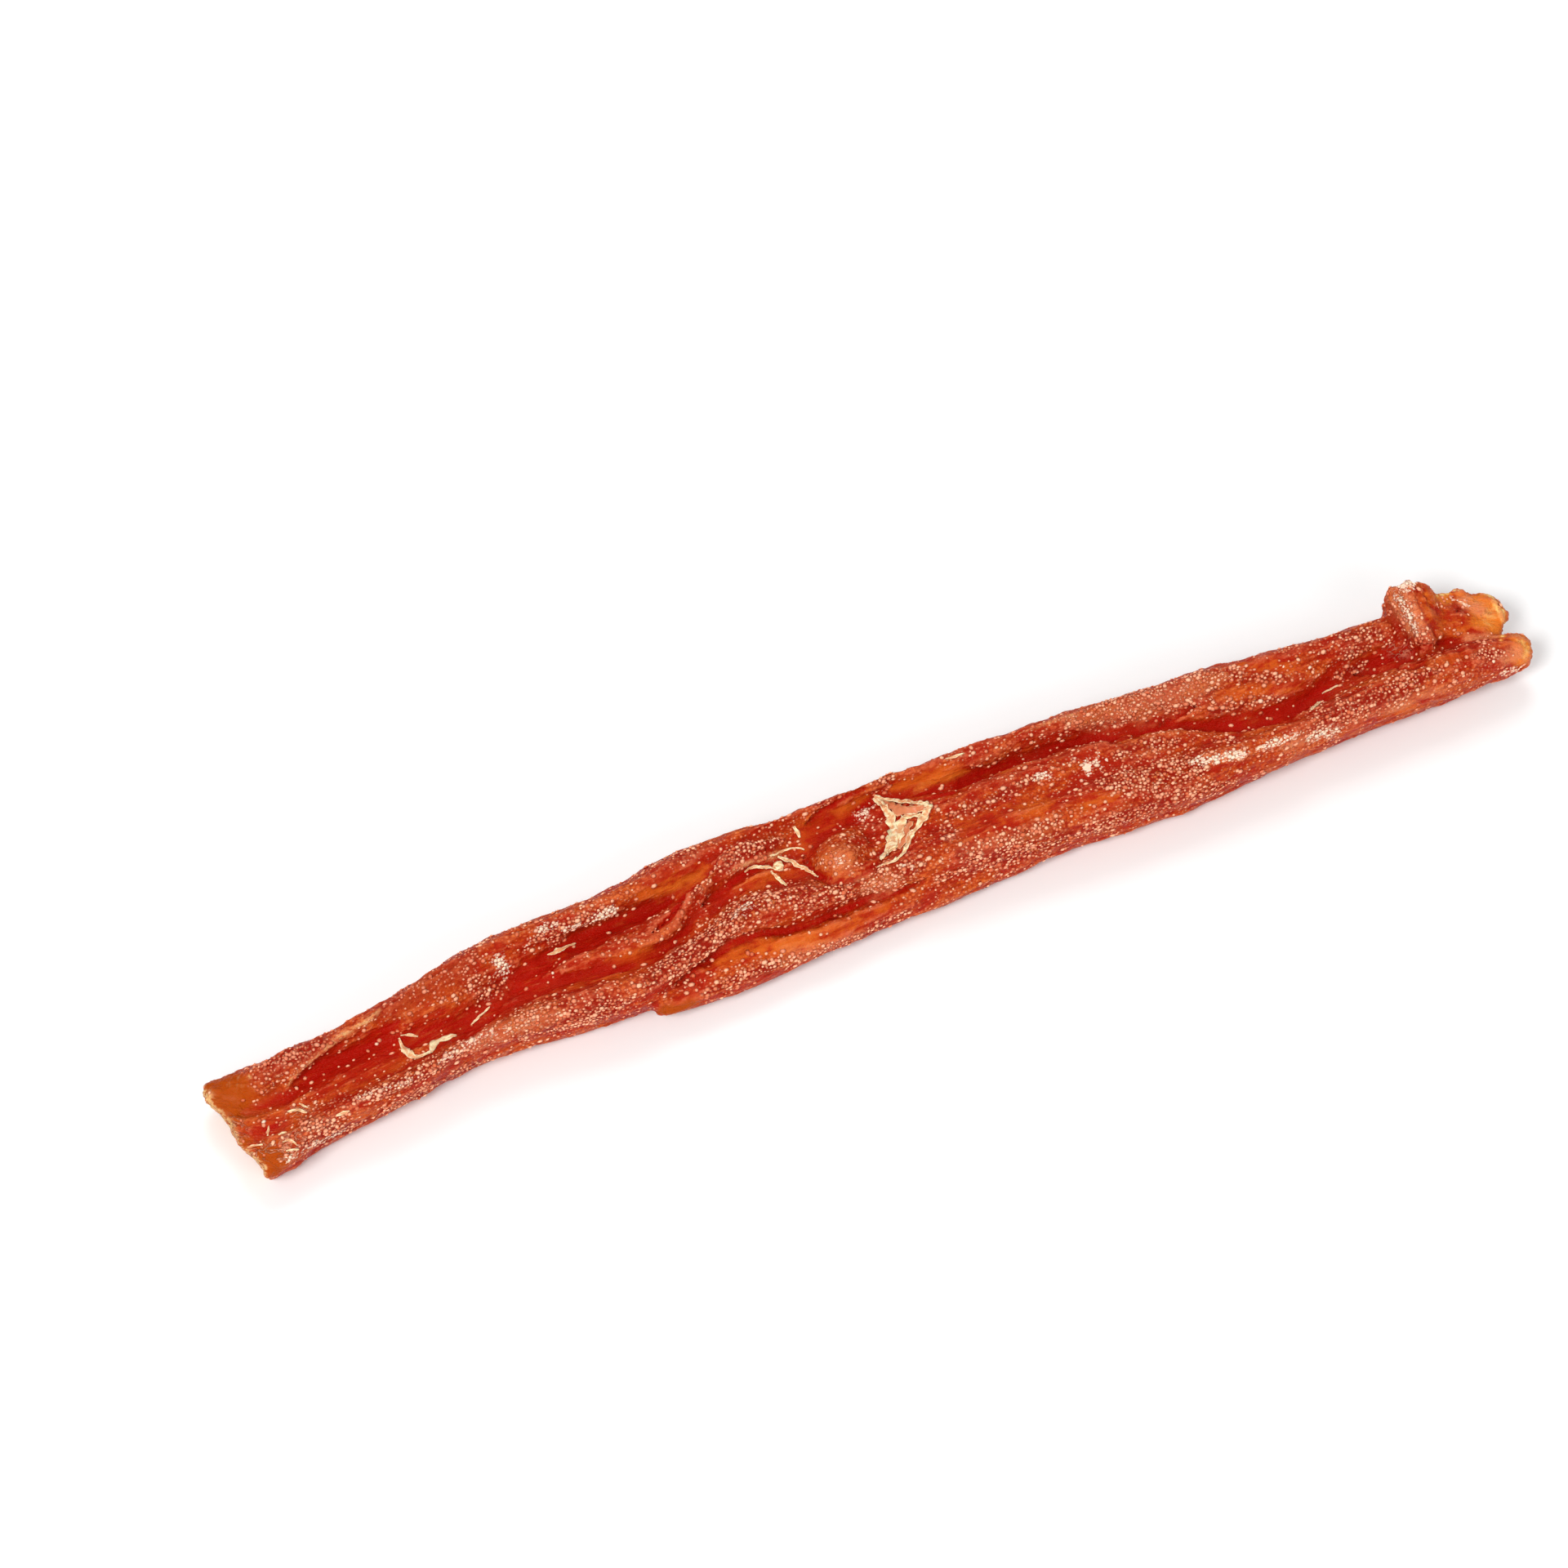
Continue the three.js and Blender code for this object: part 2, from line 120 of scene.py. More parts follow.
def corner_places(mesh):
    """The corners of a mesh, as an array of points in millimetres."""
    return read_rows(mesh.vertices, "co", 3).astype(float) / MM


def corner_normals(mesh):
    return read_rows(mesh.vertex_normals, "vector", 3).astype(float)


def place_corners(mesh, points):
    """Moves the corners of a mesh to points in millimetres."""
    mesh.vertices.foreach_set("co", (points * MM).astype(np.float32).ravel())
    mesh.update()


def keep_on_corners(mesh, name, values):
    """Stores one number, or one vector, for each corner of a mesh."""
    kind = "FLOAT" if values.ndim == 1 else "FLOAT_VECTOR"
    stored = mesh.attributes.get(name) or mesh.attributes.new(name, kind, "POINT")
    field = "value" if values.ndim == 1 else "vector"
    stored.data.foreach_set(field, values.astype(np.float32).ravel())


def surface_tree(mesh, points):
    """A search tree over the faces of a mesh, with its corners at the given points."""
    faces = [tuple(face.vertices) for face in mesh.polygons]
    return BVHTree.FromPolygons([Vector(point) for point in points], faces)


def evened(values, edges, turns, share=0.5):
    """Values at the corners of a mesh, each drawn towards its neighbours' mean, several times."""
    count = len(values)
    columns = values.reshape(count, -1)
    first, second = edges[:, 0], edges[:, 1]
    degree = np.bincount(edges.ravel(), minlength=count)[:, None]
    for _ in range(turns):
        summed = np.stack([
            np.bincount(first, column[second], count) + np.bincount(second, column[first], count)
            for column in columns.T
        ], axis=1)
        columns = columns + share * (summed / degree - columns)
    return columns.reshape(values.shape)


def smooth_step(values, start, full):
    """Nought up to the start, 1 from where it is full, and smooth between."""
    share = np.clip((values - start) / (full - start), 0, 1)
    return share * share * (3 - 2 * share)


cad_copy = linked(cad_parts["meat_stick"].data.copy(), "cad_copy")
merging = bmesh.new()
merging.from_mesh(cad_copy.data)
bmesh.ops.remove_doubles(merging, verts=merging.verts, dist=SAME_PLACE)
merging.to_mesh(cad_copy.data)
merging.free()
cad_copy.data.materials.clear()
remesh = cad_copy.modifiers.new("even_cells", "REMESH")
remesh.mode = "VOXEL"
remesh.voxel_size = SKIN_CELL
strip = plain_mesh(cad_copy, "strip")

edges = read_rows(strip.data.edges, "vertices", 2, np.int32)
places = evened(corner_places(strip.data), edges, EVENING_TURNS)
place_corners(strip.data, places)

# The fibres run along the stick and wander with it. Each corner keeps its place along and across
# the fibres, in millimetres, so that furrows and streaks follow them.
SLICE = 1.0
SLICE_EVENING = 6
slice_of = np.floor((places[:, 0] - places[:, 0].min()) / SLICE).astype(int)
slice_middle = np.bincount(slice_of, places[:, 1]) / np.bincount(slice_of)
kernel = np.hanning(2 * SLICE_EVENING + 1)
padded = np.pad(slice_middle, SLICE_EVENING, mode="edge")
slice_middle = np.convolve(padded, kernel / kernel.sum(), mode="valid")
slice_x = places[:, 0].min() + SLICE * (np.arange(len(slice_middle)) + 0.5)


def fibre_places(points):
    """Places along, across and above the fibres."""
    middle = np.interp(points[:, 0], slice_x, slice_middle)
    return np.stack([points[:, 0], points[:, 1] - middle, points[:, 2]], axis=1)


# Folds, bands and marks of the meat, as strokes over the picture. Each stroke has a width in
# millimetres, a strength, and the points of the picture that it runs through.
CHANNELS = [
    (2.0, 1.0, [(362, 1328), (394, 1308), (428, 1294), (451, 1278), (474, 1262), (487, 1251)]),
    (1.3, 0.7, [(292, 1365), (326, 1353), (362, 1333)]),
    (2.0, 1.0, [(625, 1219), (641, 1208), (659, 1194), (673, 1183), (716, 1155), (761, 1133),
        (807, 1110), (818, 1103)]),
    (1.2, 0.9, [(750, 1192), (795, 1174), (830, 1151), (845, 1133)]),
    (1.4, 0.7, [(560, 1262), (590, 1250), (612, 1232)]),
    (1.0, 0.9, [(1035, 1011), (1051, 991), (1067, 978)]),
    (1.5, 1.0, [(1128, 977), (1164, 970), (1199, 950), (1244, 934), (1277, 923), (1298, 911)]),
    (1.3, 1.0, [(1298, 911), (1343, 907), (1377, 904), (1403, 896), (1448, 890), (1516, 891),
        (1573, 882), (1596, 864), (1630, 836), (1675, 815), (1719, 804)]),
    (0.8, 0.8, [(1719, 804), (1742, 792), (1787, 783)]),
    (1.0, 0.6, [(870, 1118), (895, 1096), (930, 1078)]),
]
CREASES = [
    (0.8, 1.0, [(831, 1205), (850, 1187), (872, 1174), (897, 1155), (929, 1144), (963, 1140),
        (997, 1130), (1031, 1115), (1065, 1101), (1101, 1092), (1133, 1079)]),
    (0.9, 1.0, [(1078, 1052), (1064, 1068), (1042, 1079), (1018, 1080), (996, 1068), (985, 1050)]),
    (0.8, 0.8, [(988, 1008), (1010, 992), (1034, 976), (1062, 965)]),
    (0.8, 1.1, [(800, 1142), (822, 1124), (836, 1100), (858, 1078), (884, 1054)]),
    (0.8, 1.0, [(862, 1108), (884, 1090), (912, 1070), (944, 1054)]),
    (0.7, 0.8, [(1421, 887), (1448, 871), (1462, 863)]),
    (0.8, 0.3, [(365, 1326), (394, 1301), (420, 1276), (452, 1255)]),
    (0.7, 0.8, [(1660, 822), (1700, 820), (1742, 812)]),
    (0.8, 0.5, [(1700, 742), (1706, 757), (1713, 772), (1721, 788)]),
    (0.9, 0.5, [(1742, 790), (1760, 787), (1785, 783)]),
    (0.6, 0.6, [(1811, 729), (1800, 737), (1786, 746)]),
    (0.6, 0.6, [(1835, 741), (1822, 748), (1806, 757)]),
]
RIDGES = [
    (0.9, 0.6, [(346, 1340), (358, 1321), (380, 1301), (399, 1283), (417, 1269), (433, 1260),
        (453, 1249), (465, 1236)]),
    (0.9, 0.9, [(655, 1150), (686, 1141), (716, 1131), (736, 1121), (759, 1112)]),
    (1.3, 1.1, [(845, 1094), (861, 1085), (872, 1067), (888, 1053), (906, 1042), (929, 1035),
        (959, 1030)]),
    (1.1, 0.8, [(433, 1346), (462, 1337), (496, 1326), (526, 1310), (565, 1283), (602, 1262)]),
    (1.3, 1.1, [(786, 1155), (806, 1150), (823, 1137), (832, 1107), (850, 1092)]),
    (1.0, 0.6, [(985, 1006), (1003, 992), (1030, 977), (1062, 966), (1086, 960)]),
    (3.4, 1.4, [(1018, 1055), (1030, 1050), (1040, 1046)]),
    (0.8, 0.7, [(900, 1085), (930, 1072), (955, 1062), (985, 1052)]),
    (1.2, 0.8, [(1448, 939), (1482, 930), (1516, 925), (1573, 907), (1591, 896)]),
    (0.9, 0.7, [(682, 1190), (705, 1187), (722, 1184)]),
    (0.9, 0.5, [(1778, 727), (1800, 723), (1826, 735), (1838, 752), (1839, 768)]),
    (1.0, 1.0, [(1708, 724), (1719, 740), (1728, 758), (1735, 776), (1740, 792)]),
]
RAGGED_EDGES = [
    (2.6, 1.0, [(248, 1333), (258, 1355), (271, 1374), (283, 1394), (295, 1413), (308, 1430),
        (320, 1442)]),
    (2.0, 1.0, [(806, 1222), (812, 1236), (822, 1247), (838, 1245)]),
    (1.2, 0.5, [(1756, 727), (1778, 722), (1806, 722), (1828, 733), (1839, 752), (1838, 775)]),
]
STROKE_STEP, LEAST_SPOTS = 5, 2
STROKE_TIP, STROKE_SWELL = 0.4, 3.5
STROKE_WAVER, STROKE_REACH = 0.3, 2
UNEVEN_RANGE = 1.6
UNEVEN_KERNEL = (0.25, 0.5, 0.25)
SEED = 11
rng = np.random.default_rng(SEED)


def uneven(count, turns=2):
    """A row of smooth random numbers, mostly from -1 to 1."""
    values = rng.uniform(-UNEVEN_RANGE, UNEVEN_RANGE, count)
    for _ in range(turns):
        values = np.convolve(np.pad(values, 1, mode="edge"), UNEVEN_KERNEL, mode="valid")
    return values


def distances_along(points):
    """How far along a path each of its points lies."""
    steps = np.linalg.norm(np.diff(points, axis=0), axis=1)
    return np.concatenate([[0], np.cumsum(steps)])


def seen_places(tree, points):
    """Places on a surface under the points of a stroke, close together."""
    points = np.array(points, float)
    run = distances_along(points)
    stops = np.linspace(0, run[-1], max(LEAST_SPOTS, int(run[-1] / STROKE_STEP)))
    rays = [sight_line(np.interp(stop, run, points[:, 0]), np.interp(stop, run, points[:, 1]))
            for stop in stops]
    found = [tree.ray_cast(camera.location / MM, ray)[0] for ray in rays]
    return np.array([hit for hit in found if hit is not None])


def under_strokes(tree, points, strokes):
    """How much of each stroke's strength reaches each of the points. The strokes taper."""
    reached = np.zeros(len(points))
    for width, strength, picture_points in strokes:
        spots = seen_places(tree, picture_points)
        if len(spots) == 0:
            raise ValueError(f"nothing shows under the stroke at {picture_points[0]}")
        reach = STROKE_REACH * width
        near = np.flatnonzero(((points > spots.min(axis=0) - reach)
                               & (points < spots.max(axis=0) + reach)).all(axis=1))
        along = np.linspace(0, 1, len(spots))
        taper = np.minimum(1, STROKE_TIP + STROKE_SWELL * np.minimum(along, 1 - along))
        half = width / 2 * taper * (1 + STROKE_WAVER * uneven(len(spots), turns=3))
        away = ((points[near, None] - spots) ** 2).sum(axis=2) / half ** 2
        reached[near] = np.maximum(reached[near], strength * np.exp(-away.min(axis=1)))
    return reached


CREASE_DEEP, RIDGE_HIGH, CHANNEL_DEEP = 0.75, 0.5, 0.4
smooth_tree = surface_tree(strip.data, places)
normals = corner_normals(strip.data)
pushed_in = CREASE_DEEP * under_strokes(smooth_tree, places, CREASES)
pushed_in += CHANNEL_DEEP * under_strokes(smooth_tree, places, CHANNELS)
raised = RIDGE_HIGH * under_strokes(smooth_tree, places, RIDGES)
places = places + normals * (raised - pushed_in)[:, None]
place_corners(strip.data, places)

# Where furrows, torn edges and the collar's ribs come: in millimetres along the stick and above
# the table, and how deep a corner lies below the evened surface round it.
FINE_TURNS, FOLD_TURNS, BROAD_TURNS = 8, 40, 160
HOLLOW_RANGE, HOLLOW_CALM = (0.15, 0.6), 0.6
ABOVE_TABLE = (0.15, 1.2)
COLLAR_START, COLLAR_END, COLLAR_ABOVE = (53, 55), (61, 59), (5.0, 6.5)


def hollowness(points, normals, turns):
    """How deep each corner lies below the evened surface round it, in millimetres."""
    return ((evened(points, edges, turns) - points) * normals).sum(axis=1)


normals = corner_normals(strip.data)
broad_hollow = smooth_step(hollowness(places, normals, BROAD_TURNS), *HOLLOW_RANGE)
above_table = smooth_step(places[:, 2], *ABOVE_TABLE)
ribbed = smooth_step(places[:, 0], *COLLAR_START) * smooth_step(places[:, 0], *COLLAR_END)
ribbed = ribbed * smooth_step(places[:, 2], *COLLAR_ABOVE)
ragged = under_strokes(smooth_tree, places, RAGGED_EDGES)
keep_on_corners(strip.data, "fibre", fibre_places(places))
keep_on_corners(strip.data, "furrowed", above_table * (1 - HOLLOW_CALM * broad_hollow))
keep_on_corners(strip.data, "ragged", ragged * above_table)
keep_on_corners(strip.data, "ribbed", ribbed)


def add_node(tree, kind, inputs=(), **settings):
    """A node with its settings, and with its inputs set or linked by name or number."""
    made = tree.nodes.new(kind)
    for name, value in settings.items():
        setattr(made, name, value)
    for key, value in dict(inputs).items():
        socket = made.inputs[key]
        if isinstance(value, bpy.types.NodeSocket):
            tree.links.new(value, socket)
        else:
            socket.default_value = value
    return made


def maths(tree, operation, *values, clamp=False):
    made = add_node(tree, "ShaderNodeMath", enumerate(values), operation=operation, use_clamp=clamp)
    return made.outputs[0]


def product(tree, *values):
    result = values[0]
    for value in values[1:]:
        result = maths(tree, "MULTIPLY", result, value)
    return result


def total(tree, *values):
    result = values[0]
    for value in values[1:]:
        result = maths(tree, "ADD", result, value)
    return result


def swing(tree, noise):
    """Noise from 0 to 1 as a swing to both sides of nought."""
    return maths(tree, "SUBTRACT", noise, 0.5)


def stretched(tree, vector, cells):
    """Places along the fibres, counted in cells instead of millimetres."""
    return add_node(
        tree, "ShaderNodeVectorMath", {0: vector, 1: cells}, operation="MULTIPLY",
    ).outputs[0]


def stretched_noise(tree, vector, cells, detail, roughness, distortion=0.0):
    """Noise with the given number of cells per millimetre along, across and above the fibres."""
    return add_node(tree, "ShaderNodeTexNoise", {
        "Vector": stretched(tree, vector, cells), "Scale": 1.0, "Detail": detail,
        "Roughness": roughness, "Distortion": distortion,
    }).outputs[0]


def named_values(tree, name, kind="FLOAT"):
    made = add_node(
        tree, "GeometryNodeInputNamedAttribute", {"Name": name}, data_type=kind,
    )
    return made.outputs["Attribute"]


def new_tree(kind, name, inputs, output, output_kind):
    """A node tree with named inputs and one named output, and what its nodes start and end in."""
    tree = bpy.data.node_groups.new(name, kind)
    tree.interface.new_socket(output, in_out="OUTPUT", socket_type=output_kind)
    for label, socket_kind in inputs.items():
        tree.interface.new_socket(label, in_out="INPUT", socket_type=socket_kind)
    entry = tree.nodes.new("NodeGroupInput")
    leave = tree.nodes.new("NodeGroupOutput")
    return tree, entry.outputs, leave.inputs[0]


def new_geometry_tree(name, inputs):
    """A geometry tree with a mesh socket at each end and named number inputs."""
    inputs = {"Geometry": "NodeSocketGeometry", **inputs}
    return new_tree("GeometryNodeTree", name, inputs, "Geometry", "NodeSocketGeometry")


def end_in_finish(tree, geometry, finish, leave):
    """Ends a geometry tree in plain meshes with one material."""
    whole = add_node(tree, "GeometryNodeRealizeInstances", {0: geometry}).outputs[0]
    finished = add_node(tree, "GeometryNodeSetMaterial", {"Geometry": whole, "Material": finish})
    tree.links.new(finished.outputs[0], leave)


def grow_by_tree(thing, tree, values):
    """Puts a geometry tree on a thing, with its inputs set by their identifiers."""
    grown = thing.modifiers.new(tree.name, "NODES")
    grown.node_group = tree
    for item in tree.interface.items_tree:
        if item.in_out == "INPUT" and item.name in values:
            grown[item.identifier] = values[item.name]


def new_material(name):
    made = bpy.data.materials.new(name)
    made.use_nodes = True
    made.node_tree.nodes.clear()
    return made, made.node_tree


# The relief of the dry skin, in cells per millimetre along, across and above the fibres.
LUMP_CELLS = (0.16, 0.42, 0.42)
FURROW_CELLS = (0.13, 0.95, 0.95)
WRINKLE_CELLS = (0.6, 1.5, 1.5)
TEAR_CELLS = (0.9, 1.0, 1.0)
RIB_CELLS = (1.05, 0.16, 0.22)
FURROW_STEEP, FURROW_LEVEL = 6.0, 0.7
meat_finish, meat_nodes = new_material("dried_meat")
tree, entry, leave = new_geometry_tree("dry_relief", {
    "Lump depth": "NodeSocketFloat",
    "Furrow depth": "NodeSocketFloat",
    "Wrinkle depth": "NodeSocketFloat",
    "Ragged depth": "NodeSocketFloat",
    "Rib depth": "NodeSocketFloat",
})
fibre = named_values(tree, "fibre", "FLOAT_VECTOR")
lumps = swing(tree, stretched_noise(tree, fibre, LUMP_CELLS, detail=2.0, roughness=0.5))
furrow_side = maths(
    tree, "ABSOLUTE", swing(tree, stretched_noise(
        tree, fibre, FURROW_CELLS, detail=3.0, roughness=0.55, distortion=0.3,
    )),
)
furrows = maths(
    tree, "SUBTRACT", maths(tree, "MULTIPLY", furrow_side, FURROW_STEEP, clamp=True), FURROW_LEVEL,
)
wrinkles = swing(tree, stretched_noise(tree, fibre, WRINKLE_CELLS, detail=3.0, roughness=0.65))
tears = swing(tree, stretched_noise(tree, fibre, TEAR_CELLS, detail=4.0, roughness=0.75))
ribs = swing(tree, stretched_noise(
    tree, fibre, RIB_CELLS, detail=2.0, roughness=0.6, distortion=0.4,
))
over_skin = total(
    tree, product(tree, lumps, entry["Lump depth"]), product(tree, furrows, entry["Furrow depth"]),
    product(tree, wrinkles, entry["Wrinkle depth"]),
)
at_ends = total(
    tree, product(tree, tears, entry["Ragged depth"], named_values(tree, "ragged")),
    product(tree, ribs, named_values(tree, "ribbed"), entry["Rib depth"]),
)
pushed = total(tree, product(tree, over_skin, named_values(tree, "furrowed")), at_ends)
outwards = add_node(tree, "GeometryNodeInputNormal").outputs[0]
offset = add_node(
    tree, "ShaderNodeVectorMath", {0: outwards, "Scale": pushed}, operation="SCALE",
).outputs[0]
moved = add_node(
    tree, "GeometryNodeSetPosition", {"Geometry": entry["Geometry"], "Offset": offset},
).outputs[0]
end_in_finish(tree, moved, meat_finish, leave)
grow_by_tree(strip, tree, {
    "Lump depth": 0.75 * MM,
    "Furrow depth": 0.2 * MM,
    "Wrinkle depth": 0.34 * MM,
    "Ragged depth": 1.3 * MM,
    "Rib depth": 0.9 * MM,
})
meat = plain_mesh(strip, "dried_meat_strip")

places = corner_places(meat.data)
places[:, 2] = np.maximum(places[:, 2], 0)
place_corners(meat.data, places)
meat.data.shade_smooth()
normals = corner_normals(meat.data)
meat_tree = surface_tree(meat.data, places)

# How deep each corner lies in the channels: below the crests behind it and in front of it.
FINE_SLICE = 0.5
LEAST_FACING_UP = 0.1
SUNK_EVENING = 6


def sunk_depth(points, normals):
    depth = np.zeros(len(points))
    column = np.floor((points[:, 0] - points[:, 0].min()) / FINE_SLICE).astype(int)
    order = np.lexsort((points[:, 1], column))
    for row in np.split(order, np.flatnonzero(np.diff(column[order])) + 1):
        height = points[row, 2]
        from_front = np.maximum.accumulate(height)
        from_back = np.maximum.accumulate(height[::-1])[::-1]
        depth[row] = np.minimum(from_front, from_back) - height
    return np.where(normals[:, 2] > LEAST_FACING_UP, depth, 0)


sunk = evened(sunk_depth(places, normals), edges, SUNK_EVENING)

# Marks on the finished skin: bare smooth flesh, clear amber meat at the cuts, crests dotted with
# beads, white frost with painted highlights and glints in it, cream edges and a painted highlight
# in cream along one ridge, pale even skin, wrinkles, single beads, deep red hollows, shallow places
# where that red is taken away again, patches of painted shade in dull red, and a painted glow on
# the lobe, its thin edges and a few bright places.
SINGLE_BEAD = 0.5
SINGLE_BEADS = [
    (444, 1298), (459, 1293), (451, 1289), (448, 1283), (455, 1280), (461, 1277), (467, 1273),
    (473, 1270), (423, 1335), (386, 1347), (322, 1374), (524, 1235), (656, 1193), (735, 1206),
    (677, 1190), (690, 1186), (704, 1183), (717, 1181), (730, 1176), (1073, 1044), (1553, 880),
    (1567, 888), (1583, 853), (1573, 869), (1592, 808), (1569, 815), (1779, 767), (1752, 780),
    (1763, 781), (1771, 780), (1784, 775), (1174, 1000), (1190, 992), (1540, 882), (1601, 803),
    (1581, 806), (1603, 817), (1829, 811), (590, 1219), (598, 1213), (1106, 1061), (1110, 1063),
    (1115, 1062), (1113, 1066), (1517, 861), (1530, 857), (1541, 858), (1552, 857), (1566, 856),
    (1324, 955), (1314, 951), (1394, 893), (1361, 907), (686, 1221), (606, 1217), (612, 1208),
    (1640, 825), (1650, 817), (1660, 823), (1656, 829), (1673, 812),
]
